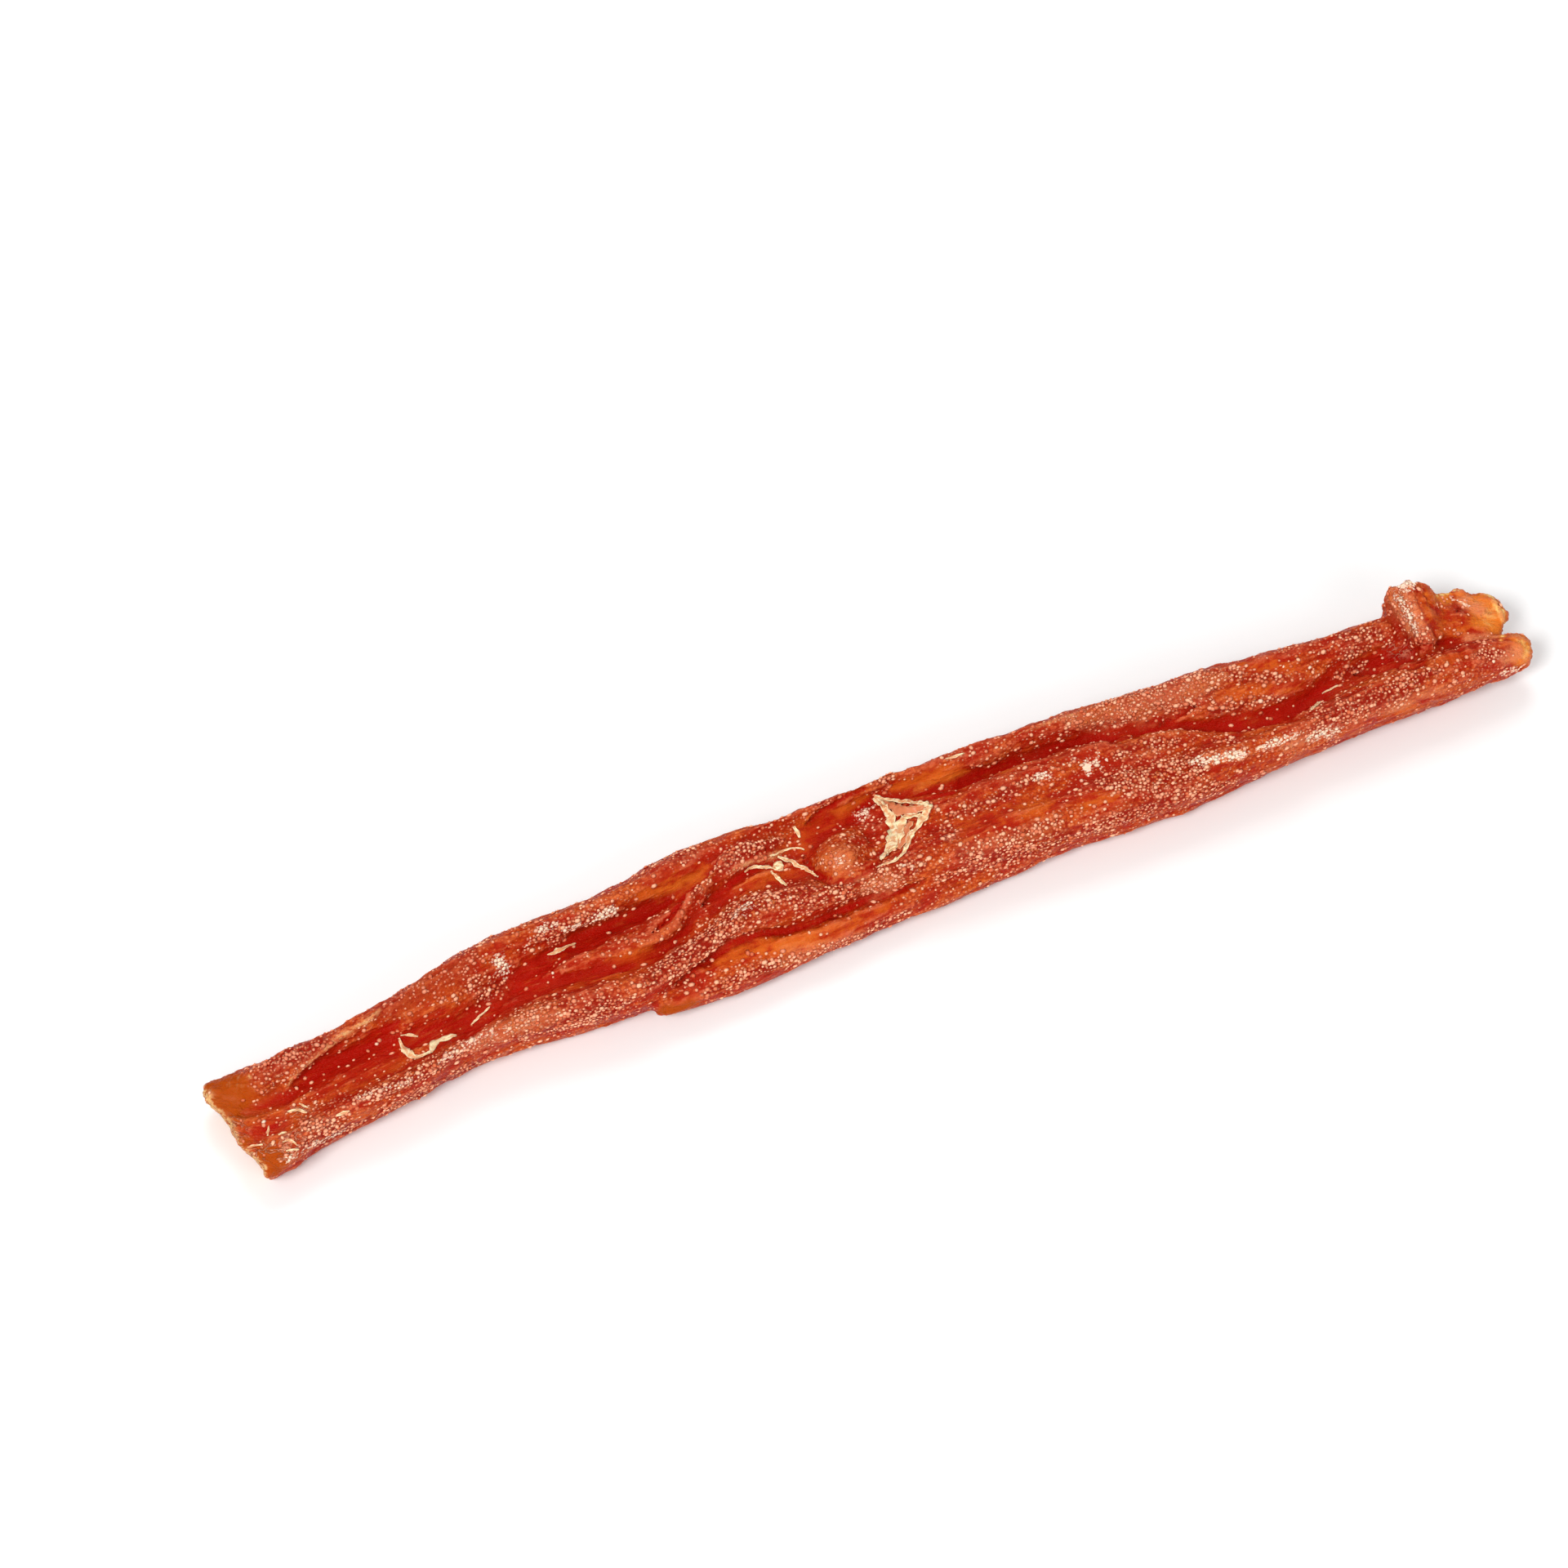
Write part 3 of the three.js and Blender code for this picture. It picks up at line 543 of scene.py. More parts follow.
MARKS = {
    "bare": [
        (1.8, 0.45, [(383, 1328), (440, 1326), (485, 1310), (519, 1297)]),
        (2.6, 1.0, [(655, 1212), (705, 1205), (750, 1196), (784, 1176), (818, 1158)]),
        (1.8, 0.8, [(980, 1030), (990, 1044)]),
        (2.0, 0.7, [(905, 1090), (940, 1078), (975, 1068)]),
        (2.0, 0.8, [(1330, 985), (1370, 975)]),
        (2.4, 0.7, [(1640, 902), (1700, 880), (1740, 862)]),
        (2.4, 1.0, [(784, 1099), (818, 1082), (845, 1073), (870, 1057)]),
        (1.8, 1.0, [(861, 1190), (906, 1165), (952, 1155), (997, 1149), (1043, 1133),
            (1088, 1110)]),
        (2.0, 1.0, [(984, 1026), (1009, 1010), (1031, 994), (1062, 975)]),
        (1.6, 1.0, [(1087, 966), (1119, 959), (1142, 950), (1187, 943)]),
        (2.8, 0.7, [(1168, 1012), (1200, 1005), (1240, 1000), (1290, 988)]),
        (2.0, 0.45, [(1494, 853), (1539, 846), (1573, 842), (1596, 838)]),
        (1.8, 0.9, [(1516, 814), (1562, 814), (1585, 819)]),
        (2.4, 0.8, [(1790, 772), (1820, 762)]), (1.6, 0.4, [(330, 1402), (355, 1400)]),
        (1.4, 0.8, [(1765, 806), (1800, 798)]),
        (1.5, 0.9, [(1741, 722), (1748, 740), (1752, 762)]),
        (1.5, 0.8, [(262, 1330), (278, 1345)]), (1.6, 0.8, [(1480, 816), (1500, 812)]),
        (1.6, 0.8, [(1205, 950), (1240, 942)]), (1.6, 0.7, [(440, 1372), (462, 1362)]),
    ],
    "amber": [
        (6.0, 1.3, [(256, 1322), (268, 1350)]), (4.0, 1.3, [(310, 1432), (338, 1426)]),
        (2.8, 1.2, [(258, 1343), (272, 1368), (288, 1395), (308, 1420)]),
        (2.6, 0.35, [(485, 1228), (520, 1208)]),
        (2.2, 1.1, [(806, 1240), (822, 1240), (850, 1228)]),
        (1.2, 1.2, [(1738, 717), (1747, 721)]),
    ],
    "dotted": [
        (2.2, 0.55, [(303, 1308), (337, 1300), (362, 1289), (394, 1276)]),
        (1.4, 0.6, [(303, 1349), (326, 1328), (344, 1310)]),
        (1.6, 0.4, [(560, 1172), (600, 1150)]), (1.6, 0.5, [(570, 1210), (590, 1200)]),
        (1.8, 0.8, [(433, 1346), (496, 1326), (565, 1283), (636, 1253), (698, 1226)]),
        (2.4, 0.9, [(614, 1268), (700, 1250), (770, 1226)]),
        (2.0, 0.7, [(350, 1410), (430, 1380), (520, 1335), (600, 1295)]),
        (2.4, 0.6, [(1150, 1075), (1230, 1050), (1320, 1020), (1420, 985), (1500, 960)]),
        (1.4, 0.8, [(655, 1150), (700, 1132), (750, 1112)]),
        (2.6, 1.0, [(793, 1205), (815, 1183), (838, 1165), (865, 1149), (888, 1128), (906, 1112),
            (929, 1103), (963, 1097)]),
        (2.2, 1.0, [(963, 1100), (1031, 1091), (1065, 1083), (1100, 1071), (1130, 1059)]),
        (1.3, 1.0, [(845, 1094), (872, 1067), (906, 1042), (959, 1030)]),
        (1.8, 0.7, [(790, 1062), (830, 1045), (855, 1052)]),
        (1.1, 0.9, [(861, 1217), (929, 1187), (997, 1166), (1065, 1141), (1111, 1114)]),
        (1.2, 0.9, [(1000, 985), (1030, 965), (1060, 955), (1090, 950)]),
        (2.4, 1.0, [(1176, 1048), (1210, 1038), (1244, 1029), (1301, 1010)]),
        (1.0, 0.9, [(1160, 1000), (1190, 991), (1219, 978), (1240, 965), (1274, 950)]),
        (1.5, 1.0, [(1158, 1008), (1168, 1024)]),
        (2.6, 0.9, [(1343, 960), (1400, 955), (1470, 940)]),
        (1.2, 0.9, [(1366, 925), (1400, 911), (1445, 907)]),
        (2.8, 1.0, [(1309, 885), (1380, 870), (1440, 848), (1500, 828)]),
        (1.6, 0.7, [(1500, 828), (1540, 828), (1580, 832)]),
        (1.0, 1.0, [(1517, 860), (1576, 854)]), (1.6, 0.8, [(1640, 780), (1690, 775)]),
        (1.4, 0.8, [(1645, 808), (1675, 795)]),
        (1.8, 0.8, [(588, 1222), (600, 1214), (616, 1205)]),
        (1.6, 0.6, [(1635, 830), (1668, 816)]),
        (2.0, 0.8, [(1600, 905), (1650, 870), (1700, 850), (1760, 820)]),
        (1.2, 0.9, [(1482, 871), (1528, 867)]), (2.4, 0.6, [(1016, 1060), (1044, 1050)]),
        (2.0, 1.0, [(1052, 1000), (1070, 1005)]), (2.0, 0.35, [(480, 1222), (520, 1202)]),
        (1.6, 0.8, [(372, 1372), (400, 1384), (430, 1378)]),
        (1.4, 0.7, [(345, 1382), (352, 1400)]),
        (1.2, 1.0, [(1706, 724), (1717, 738), (1727, 756), (1734, 774), (1738, 790)]),
        (1.2, 0.8, [(1785, 808), (1815, 798), (1840, 800)]),
    ],
    # Frost, partly real and partly painted highlights and glints.
    "frost_and_glints": [
        (1.4, 0.8, [(608, 1172), (616, 1184), (622, 1194)]),
        (0.8, 1.1, [(645, 1158), (651, 1149)]), (0.8, 0.8, [(686, 1141), (722, 1129)]),
        (1.3, 0.6, [(655, 1140), (682, 1130)]),
        (1.2, 0.45, [(433, 1346), (496, 1326), (526, 1312)]),
        (1.2, 0.5, [(535, 1302), (602, 1262)]),
        (0.9, 0.25, [(602, 1262), (650, 1248), (690, 1236)]),
        (1.1, 0.85, [(720, 1130), (738, 1121), (757, 1112)]),
        (0.6, 0.8, [(412, 1362), (430, 1358)]), (1.6, 0.7, [(897, 1124), (920, 1105)]),
        (0.8, 0.9, [(944, 1113), (947, 1116)]), (0.9, 0.8, [(963, 1102), (968, 1099)]),
        (1.3, 0.75, [(1050, 1004), (1062, 991), (1070, 986)]),
        (0.8, 0.9, [(1046, 1010), (1056, 1012)]), (0.5, 0.8, [(1048, 1052), (1056, 1046)]),
        (1.5, 0.45, [(1022, 1056), (1038, 1049)]), (0.9, 1.3, [(1106, 1060), (1116, 1064)]),
        (0.6, 1.1, [(1186, 993), (1192, 987)]), (0.5, 0.9, [(1169, 998), (1182, 994)]),
        (0.7, 1.1, [(1229, 973), (1237, 979)]),
        (0.8, 1.1, [(1266, 955), (1274, 947), (1286, 951)]),
        (1.0, 1.4, [(1345, 923), (1355, 931)]), (0.9, 1.4, [(1329, 931), (1333, 948)]),
        (0.5, 1.1, [(1335, 944), (1342, 935)]), (0.8, 0.9, [(1302, 936), (1315, 930)]),
        (0.6, 1.1, [(1382, 944), (1386, 939)]), (1.2, 0.7, [(1335, 928), (1350, 940)]),
        (0.6, 1.1, [(1449, 938), (1459, 935)]), (0.8, 1.1, [(1462, 934), (1476, 921)]),
        (0.9, 1.0, [(1483, 932), (1493, 930), (1506, 920)]),
        (0.6, 1.0, [(1524, 928), (1536, 921)]), (1.3, 0.9, [(1457, 934), (1530, 921)]),
        (1.2, 0.8, [(1538, 918), (1560, 911), (1596, 897)]),
        (1.6, 0.65, [(1600, 905), (1640, 892)]),
        (0.7, 0.9, [(1772, 731), (1786, 735), (1800, 741)]),
        (2.0, 1.3, [(1714, 717), (1723, 714), (1731, 715)]),
        (1.8, 0.6, [(1706, 724), (1720, 742), (1734, 775)]),
        (0.9, 0.45, [(595, 1272), (622, 1263), (650, 1254)]),
        (0.9, 0.4, [(1050, 1093), (1108, 1074)]), (0.7, 1.0, [(1567, 815), (1572, 815)]),
        (1.4, 0.6, [(345, 1424), (380, 1404), (425, 1382)]),
        (1.0, 0.6, [(1835, 826), (1865, 818)]),
    ],
    "creamy": [
        # The first two strokes lie along the left ridge and are a painted highlight in cream.
        (0.3, 0.7, [(346, 1340), (358, 1321), (380, 1301), (399, 1283)]),
        (0.5, 0.8, [(399, 1283), (417, 1269), (433, 1260), (453, 1249), (465, 1236)]),
        (0.9, 1.1, [(252, 1339), (260, 1357), (271, 1374), (283, 1394), (295, 1413), (308, 1428),
            (322, 1441)]),
        (0.3, 0.8, [(866, 1027), (897, 1018)]), (0.3, 0.9, [(1157, 930), (1180, 923)]),
        (0.3, 0.6, [(1248, 898), (1286, 884), (1327, 871)]),
        (0.5, 0.6, [(897, 1065), (915, 1058), (943, 1049), (963, 1040)]),
    ],
    "pale": [
        (2.6, 0.65, [(1022, 1056), (1040, 1048)]),
        (2.8, 1.0, [(1706, 728), (1722, 745), (1734, 775)]),
        (1.4, 0.8, [(1794, 783), (1835, 778)]), (2.4, 0.8, [(1840, 808), (1862, 796)]),
        (2.6, 0.7, [(560, 1285), (620, 1262), (690, 1240)]),
        (2.4, 0.8, [(1060, 1090), (1100, 1076)]),
        (2.0, 0.6, [(960, 1178), (1010, 1162), (1060, 1142)]),
        (2.2, 0.6, [(1570, 915), (1610, 900), (1640, 890)]),
        (2.0, 0.6, [(630, 1250), (665, 1240)]), (1.6, 0.5, [(1730, 856), (1770, 842)]),
        (2.2, 0.5, [(1640, 885), (1700, 868), (1750, 850)]),
        (1.8, 0.5, [(1176, 1046), (1244, 1028), (1301, 1010)]),
        (1.6, 0.45, [(1060, 955), (1090, 950)]), (2.0, 0.7, [(1790, 738), (1815, 745)]),
        (2.4, 0.35, [(1380, 930), (1420, 922)]),
        (2.8, 0.8, [(1309, 885), (1380, 870), (1440, 848), (1500, 828)]),
    ],
    "wrinkled": [
        (2.0, 0.7, [(345, 1400), (370, 1387), (410, 1372)]),
        (1.6, 0.8, [(355, 1362), (380, 1362)]),
        (1.8, 1.0, [(300, 1415), (330, 1408), (360, 1412)]),
        (1.4, 0.8, [(284, 1368), (296, 1390)]),
        (1.2, 0.7, [(1700, 790), (1712, 800), (1725, 796)]),
        (1.4, 0.6, [(1150, 1018), (1165, 1030)]),
    ],
    "single": [(SINGLE_BEAD, 1.0, [(x, y), (x + 2, y + 1)]) for x, y in SINGLE_BEADS],
    "deep": CHANNELS + CREASES + [
        (2.8, 0.7, [(310, 1388), (345, 1376)]), (3.0, 0.6, [(1190, 1022), (1220, 1014)]),
        (2.0, 0.6, [(490, 1264), (520, 1250), (550, 1236)]),
        (2.6, 0.35, [(520, 1204), (560, 1188)]), (1.6, 0.4, [(1770, 805), (1800, 798)]),
    ],
    "shallow": [
        (2.0, 0.8, [(585, 1224), (600, 1214), (618, 1204)]),
        (1.8, 0.7, [(1635, 830), (1668, 816)]), (1.6, 0.4, [(1245, 930), (1275, 921)]),
    ],
    # Patches of painted shade.
    "painted_shade": [
        (3.4, 0.9, [(470, 1240), (500, 1215), (545, 1192), (585, 1172)]),
        (3.0, 0.7, [(310, 1322), (350, 1300), (400, 1274)]),
        (2.4, 0.7, [(1370, 997), (1430, 978)]), (2.0, 0.6, [(1690, 885), (1712, 876)]),
        (2.0, 0.9, [(1697, 740), (1700, 755), (1706, 768)]),
    ],
    # A painted glow: lighter orange where light would shine through the lobe and thin edges, and on
    # a few bright places.
    "glowing": [
        (3.8, 0.7, [(1796, 734), (1820, 745), (1826, 768)]),
        (2.2, 0.5, [(1748, 728), (1775, 738)]),
        (1.5, 1.0, [(1760, 729), (1778, 724), (1800, 720), (1828, 731), (1840, 750), (1843, 768),
            (1838, 784)]),
        (3.2, 0.8, [(1858, 783), (1870, 795), (1866, 808)]),
        (1.0, 0.9, [(1866, 780), (1876, 790), (1877, 802)]),
        (1.2, 0.35, [(1790, 800), (1830, 792), (1862, 784)]),
        (2.4, 0.35, [(1750, 742), (1768, 768)]),
        (1.6, 0.24, [(905, 1170), (950, 1160), (1000, 1151), (1060, 1132)]),
        (1.8, 0.3, [(805, 1092), (835, 1080), (862, 1072)]),
        (3.0, 0.35, [(1018, 1058), (1044, 1052)]),
        (1.4, 0.3, [(1120, 966), (1150, 955), (1180, 949)]),
        (1.4, 0.3, [(1560, 850), (1592, 843)]), (0.9, 0.6, [(1734, 717), (1743, 718)]),
    ],
}
mark = {name: under_strokes(meat_tree, places, strokes) for name, strokes in MARKS.items()}

FACING_UP = (0.1, 0.5)
SUNK_RANGE, SUNK_DEEP = (0.6, 1.8), 0.7
LOBE_START, LOBE_BEHIND, LOBE_GLOW = (56, 60), (-1.5, 0.5), 0.2
CUT_FACING, CUT_START, CUT_CREAM = (-0.3, -0.6), (-60, -61), 0.75
AMBER_CLEARS_DEEP, AMBER_CLEARS_DUST = 0.8, 0.95
BARE_CLEARS_DUST, GLOW_CLEARS_DUST, GLOW_REACH = 0.85, 0.9, 1.5
STIPPLE_LEAST, DOTTED_REACH = 0.22, 1.4
facing_up = smooth_step(normals[:, 2], *FACING_UP)
lobe = smooth_step(places[:, 0], *LOBE_START) * smooth_step(places[:, 1], *LOBE_BEHIND)
cut_face = smooth_step(normals[:, 0], *CUT_FACING) * smooth_step(places[:, 0], *CUT_START)
amber = np.minimum(mark["amber"], 1)
glowing = np.maximum(LOBE_GLOW * lobe, mark["glowing"])
deep = np.maximum(SUNK_DEEP * facing_up * smooth_step(sunk, *SUNK_RANGE), mark["deep"])
deep = deep * (1 - AMBER_CLEARS_DEEP * amber) * (1 - mark["shallow"])
covered = (1 - deep) * (1 - BARE_CLEARS_DUST * mark["bare"])
covered = covered * (1 - GLOW_CLEARS_DUST * np.minimum(GLOW_REACH * glowing, 1))
covered = covered * (1 - AMBER_CLEARS_DUST * amber) * (1 - cut_face)
dotted = np.minimum(DOTTED_REACH * mark["dotted"], 1)
stippled = covered * (STIPPLE_LEAST + (1 - STIPPLE_LEAST) * dotted)
kept = {name: mark[name] for name in ("bare", "wrinkled", "pale", "painted_shade", "frost_and_glints", "single")}
kept.update(
    fibre=fibre_places(places), deep=deep, amber=amber, glowing=glowing, covered=covered,
    stippled=stippled, creamy=np.maximum(mark["creamy"], CUT_CREAM * cut_face),
    pit=hollowness(places, normals, FINE_TURNS), hollow=hollowness(places, normals, FOLD_TURNS),
)
for name, values in kept.items():
    keep_on_corners(meat.data, name, values)

DEEP_RED = (0.41, 0.004, 0.001, 1)
# FOLD_RED is the dark red of the painted shade in the folds; it also makes dark flecks and the red
# between pebbles and specks.
FOLD_RED = (0.3, 0.007, 0.001, 1)
# The dull red of the painted shade patches.
PAINTED_SHADE_RED = (0.36, 0.03, 0.008, 1)
FLESH_RED = (0.42, 0.014, 0.002, 1)
FLESH_ORANGE = (0.6, 0.083, 0.009, 1)
BARE_ORANGE = (0.62, 0.098, 0.008, 1)
# The orange of the painted highlight on the crests.
CREST_HIGHLIGHT_ORANGE = (0.65, 0.12, 0.03, 1)
AMBER = (0.42, 0.058, 0.001, 1)
# Colours of the painted glow.
LOBE_ORANGE = (0.78, 0.19, 0.02, 1)
EDGE_YELLOW = (1.0, 0.66, 0.21, 1)
PALE_FLESH = (0.78, 0.23, 0.09, 1)
# Tones of the dust, which also carry a painted sheen on the crests.
ROSY_DUST_AND_SHEEN = (0.68, 0.14, 0.065, 1)
ORANGE_DUST_AND_SHEEN = (0.73, 0.165, 0.04, 1)
PEBBLE_PINK = (0.85, 0.31, 0.18, 1)
STIPPLE_PINK = (0.93, 0.38, 0.23, 1)
# White of the frost and of the painted highlights and glints.
WHITE_FROST_AND_GLINT = (1.0, 0.74, 0.55, 1)
# The cream of the dry edges and the cut, also used for a painted highlight along one ridge.
CREAM = (0.9, 0.58, 0.25, 1)

# How strongly some effects of the finish show, and what lifts or lowers them.
STREAK_WANDER, DUST_AND_SHEEN_LEVEL, FROST_AND_GLINT_LIFT = 0.5, -0.75, 0.26
FLECKS_MOST, CREASES_MOST, FROST_AND_GLINT_MOST = 0.45, 0.7, 0.9
RED_BETWEEN_PEBBLES, RED_BETWEEN_SPECKS = 0.95, 0.75
SPECKS_IF_COVERED, SPECKS_IF_STIPPLED = 0.5, 0.4

# The numbers of the sockets that a mix node has for its share and for colours.
MIX_SHARE, MIX_FIRST, MIX_SECOND, MIX_RESULT = 0, 6, 7, 2


def attribute(tree, name, output="Fac"):
    return add_node(tree, "ShaderNodeAttribute", attribute_name=name).outputs[output]


def ramp(tree, value, low, high, to_low=0.0, to_high=1.0):
    """Maps a value from one range to another, smoothly and clamped."""
    made = add_node(tree, "ShaderNodeMapRange", {
        "Value": value, "From Min": low, "From Max": high, "To Min": to_low, "To Max": to_high,
    }, interpolation_type="SMOOTHSTEP")
    return made.outputs[0]


def mixed(tree, share, first, second):
    """A colour that goes from the first to the second as the share goes from 0 to 1."""
    made = add_node(tree, "ShaderNodeMix", {
        MIX_SHARE: share, MIX_FIRST: first, MIX_SECOND: second,
    }, data_type="RGBA")
    return made.outputs[MIX_RESULT]


def weighed(tree, *pairs):
    """The sum of some values, each times its weight."""
    return total(tree, *(product(tree, value, weight) for value, weight in pairs))


def end_in_shader(tree, inputs):
    """Ends a material in one Principled shader."""
    shader = add_node(tree, "ShaderNodeBsdfPrincipled", inputs)
    add_node(tree, "ShaderNodeOutputMaterial", {"Surface": shader.outputs[0]})


# The grain along the fibres is one effect, which the meat and the torn skins on it share.
grain_tree, entry, leave = new_tree("ShaderNodeTree", "fibre_grain", {
    "Place": "NodeSocketVector",
    "Cells along": "NodeSocketFloat",
    "Cells across": "NodeSocketFloat",
    "Detail": "NodeSocketFloat",
    "Roughness": "NodeSocketFloat",
    "Distortion": "NodeSocketFloat",
}, "Grain", "NodeSocketFloat")
grain_cells = add_node(grain_tree, "ShaderNodeCombineXYZ", {
    0: entry["Cells along"], 1: entry["Cells across"], 2: entry["Cells across"],
}).outputs[0]
grain_noise = stretched_noise(
    grain_tree, entry["Place"], grain_cells, entry["Detail"], entry["Roughness"],
    entry["Distortion"],
)
grain_tree.links.new(grain_noise, leave)


def grain(tree, along, across, detail, roughness, distortion=0.0):
    """The grain with the given number of cells per millimetre along and across the fibres."""
    return add_node(tree, "ShaderNodeGroup", {
        "Place": attribute(tree, "fibre", "Vector"), "Cells along": along, "Cells across": across,
        "Detail": detail, "Roughness": roughness, "Distortion": distortion,
    }, node_tree=grain_tree).outputs[0]


# The flesh: mottled red and orange, with painted shade in darker red in the hollows and a painted
# highlight in brighter orange on the crests.
tree = meat_nodes
clouds = grain(tree, along=0.12, across=0.3, detail=4.0, roughness=0.6)
mottle = grain(tree, along=0.5, across=0.9, detail=4.0, roughness=0.65)
streaks = grain(tree, along=0.35, across=2.6, detail=4.0, roughness=0.65)
specks = grain(tree, along=1.6, across=3.2, detail=3.0, roughness=0.7)
cloud_swing = swing(tree, clouds)
mottle_swing = swing(tree, mottle)
streak_swing = swing(tree, streaks)
wander = total(tree, cloud_swing, mottle_swing, product(tree, streak_swing, STREAK_WANDER))
hollow = attribute(tree, "hollow")
mottled = ramp(tree, total(tree, cloud_swing, mottle_swing), low=-0.1, high=0.15)
# Painted shade where a place lies below the surface round it, and a painted highlight where it
# stands above it.
painted_fold_shade = ramp(tree, hollow, low=0.02, high=0.2, to_high=0.6)
painted_crest_highlight = ramp(tree, hollow, low=-0.03, high=-0.2, to_high=0.35)
colour = mixed(tree, mottled, FLESH_RED, FLESH_ORANGE)
colour = mixed(tree, painted_fold_shade, colour, FOLD_RED)
colour = mixed(tree, painted_crest_highlight, colour, CREST_HIGHLIGHT_ORANGE)


def stained(colour, name, tint, *within, fray, start, full, most=1.0):
    """A colour with a tint over it where a mark lies. The mark's edge frays with the mottling."""
    frayed = total(tree, attribute(tree, name), product(tree, wander, fray))
    share = product(tree, ramp(tree, frayed, start, full, to_high=most), *within)
    return mixed(tree, share, colour, tint)


streaky = ramp(tree, streaks, low=0.4, high=0.65, to_low=1.0, to_high=0.6)
colour = stained(colour, "bare", BARE_ORANGE, fray=3.0, start=0.2, full=1.2, most=0.85)
colour = stained(colour, "amber", AMBER, fray=0.8, start=0.15, full=0.9)
colour = stained(colour, "deep", DEEP_RED, streaky, fray=0.9, start=0.2, full=0.75)
# A painted glow in orange, turning yellow at the thinnest edges.
colour = stained(colour, "glowing", LOBE_ORANGE, fray=0.5, start=0.15, full=0.6)
colour = stained(colour, "glowing", EDGE_YELLOW, fray=0.5, start=0.62, full=1.0)
colour = stained(colour, "pale", PALE_FLESH, fray=0.8, start=0.1, full=0.8)
# Painted shade: the colour is darkened to a dull red in a few patches.
colour = stained(colour, "painted_shade", PAINTED_SHADE_RED, fray=0.8, start=0.1, full=0.9, most=0.75)
covered_here = attribute(tree, "covered")
flecks = product(tree, ramp(tree, specks, low=0.5, high=0.36), covered_here, FLECKS_MOST)
colour = mixed(tree, flecks, colour, FOLD_RED)

# The dry dust lies on crests and streaks, with a painted sheen that grows on the convex crests.
# Both lie thinly or not at all in pits, channels and bands of bare or amber flesh, and in the
# patches of painted shade.
stippled_here = attribute(tree, "stippled")
dust_and_sheen = total(tree, weighed(
    tree, (streak_swing, 1.2), (mottle_swing, 1.6), (attribute(tree, "pit"), -8.0),
    (swing(tree, specks), 2.4), (stippled_here, 1.5), (hollow, -2.0),
), DUST_AND_SHEEN_LEVEL)
dust_and_sheen_share = product(
    tree, ramp(tree, dust_and_sheen, low=-0.35, high=0.8, to_high=0.68),
    ramp(tree, attribute(tree, "amber"), low=1.0, high=0.0, to_low=0.05),
    ramp(tree, attribute(tree, "painted_shade"), low=1.0, high=0.0, to_low=0.6),
)
dust_and_sheen_tone = mixed(tree, ramp(tree, clouds, low=0.38, high=0.62), ROSY_DUST_AND_SHEEN, ORANGE_DUST_AND_SHEEN)
colour = mixed(tree, dust_and_sheen_share, colour, dust_and_sheen_tone)


def pebble_pattern(tree, along, across, randomness):
    """Cells along the fibres: how far from the middle of its cell a place lies, and its tone."""
    pebbles = add_node(tree, "ShaderNodeTexVoronoi", {
        "Vector": stretched(tree, attribute(tree, "fibre", "Vector"), (along, across, across)),
        "Scale": 1.0, "Randomness": randomness,
    })
    tone = add_node(tree, "ShaderNodeSeparateColor", {0: pebbles.outputs["Color"]}).outputs[0]
    return pebbles.outputs["Distance"], tone


# A skin of tiny pebbles, each with its own tone, with darker red between them. The red is fainter
# where the skin is pale.
pebble_away, pebble_tone = pebble_pattern(tree, along=1.9, across=2.3, randomness=0.95)
pebble = ramp(tree, pebble_away, low=0.46, high=0.2)
pebbly = ramp(tree, total(tree, stippled_here, mottle_swing), low=0.2, high=0.9)
even_skin = ramp(tree, attribute(tree, "pale"), low=0.1, high=0.7, to_low=1.0, to_high=0.4)
between = product(
    tree, ramp(tree, pebble_away, low=0.34, high=0.58), pebbly, even_skin, RED_BETWEEN_PEBBLES,
)
colour = mixed(tree, between, colour, FOLD_RED)
toned = ramp(tree, pebble_tone, low=0.2, high=0.8, to_high=0.95)
colour = mixed(tree, product(tree, pebble, pebbly, toned), colour, PEBBLE_PINK)

# A finer stipple of dry specks, about two thirds as large as the pebbles, on all that isn't smooth
# and wet.
speck_away, speck_tone = pebble_pattern(tree, along=2.9, across=3.7, randomness=1.0)
speck_cover = weighed(
    tree, (covered_here, SPECKS_IF_COVERED), (stippled_here, SPECKS_IF_STIPPLED),
)
stipple_spread = ramp(tree, total(tree, speck_cover, mottle_swing), low=0.1, high=0.9)
stipple_share = product(
    tree, ramp(tree, speck_away, low=0.42, high=0.16), stipple_spread,
    ramp(tree, speck_tone, low=0.35, high=0.85),
)
between = product(
    tree, ramp(tree, speck_away, low=0.4, high=0.68), stipple_spread, even_skin,
    RED_BETWEEN_SPECKS,
)
colour = mixed(tree, between, colour, FOLD_RED)
colour = mixed(tree, stipple_share, colour, STIPPLE_PINK)

# Fine pale creases, like those of a drying skin, on a few patches.
creasing = grain(tree, along=0.9, across=1.2, detail=2.0, roughness=0.6, distortion=0.6)
crease_share = product(
    tree, ramp(tree, maths(tree, "ABSOLUTE", swing(tree, creasing)), low=0.06, high=0.02),
    attribute(tree, "wrinkled"), ramp(tree, specks, low=0.3, high=0.5),
)
colour = mixed(tree, product(tree, crease_share, CREASES_MOST), colour, STIPPLE_PINK)

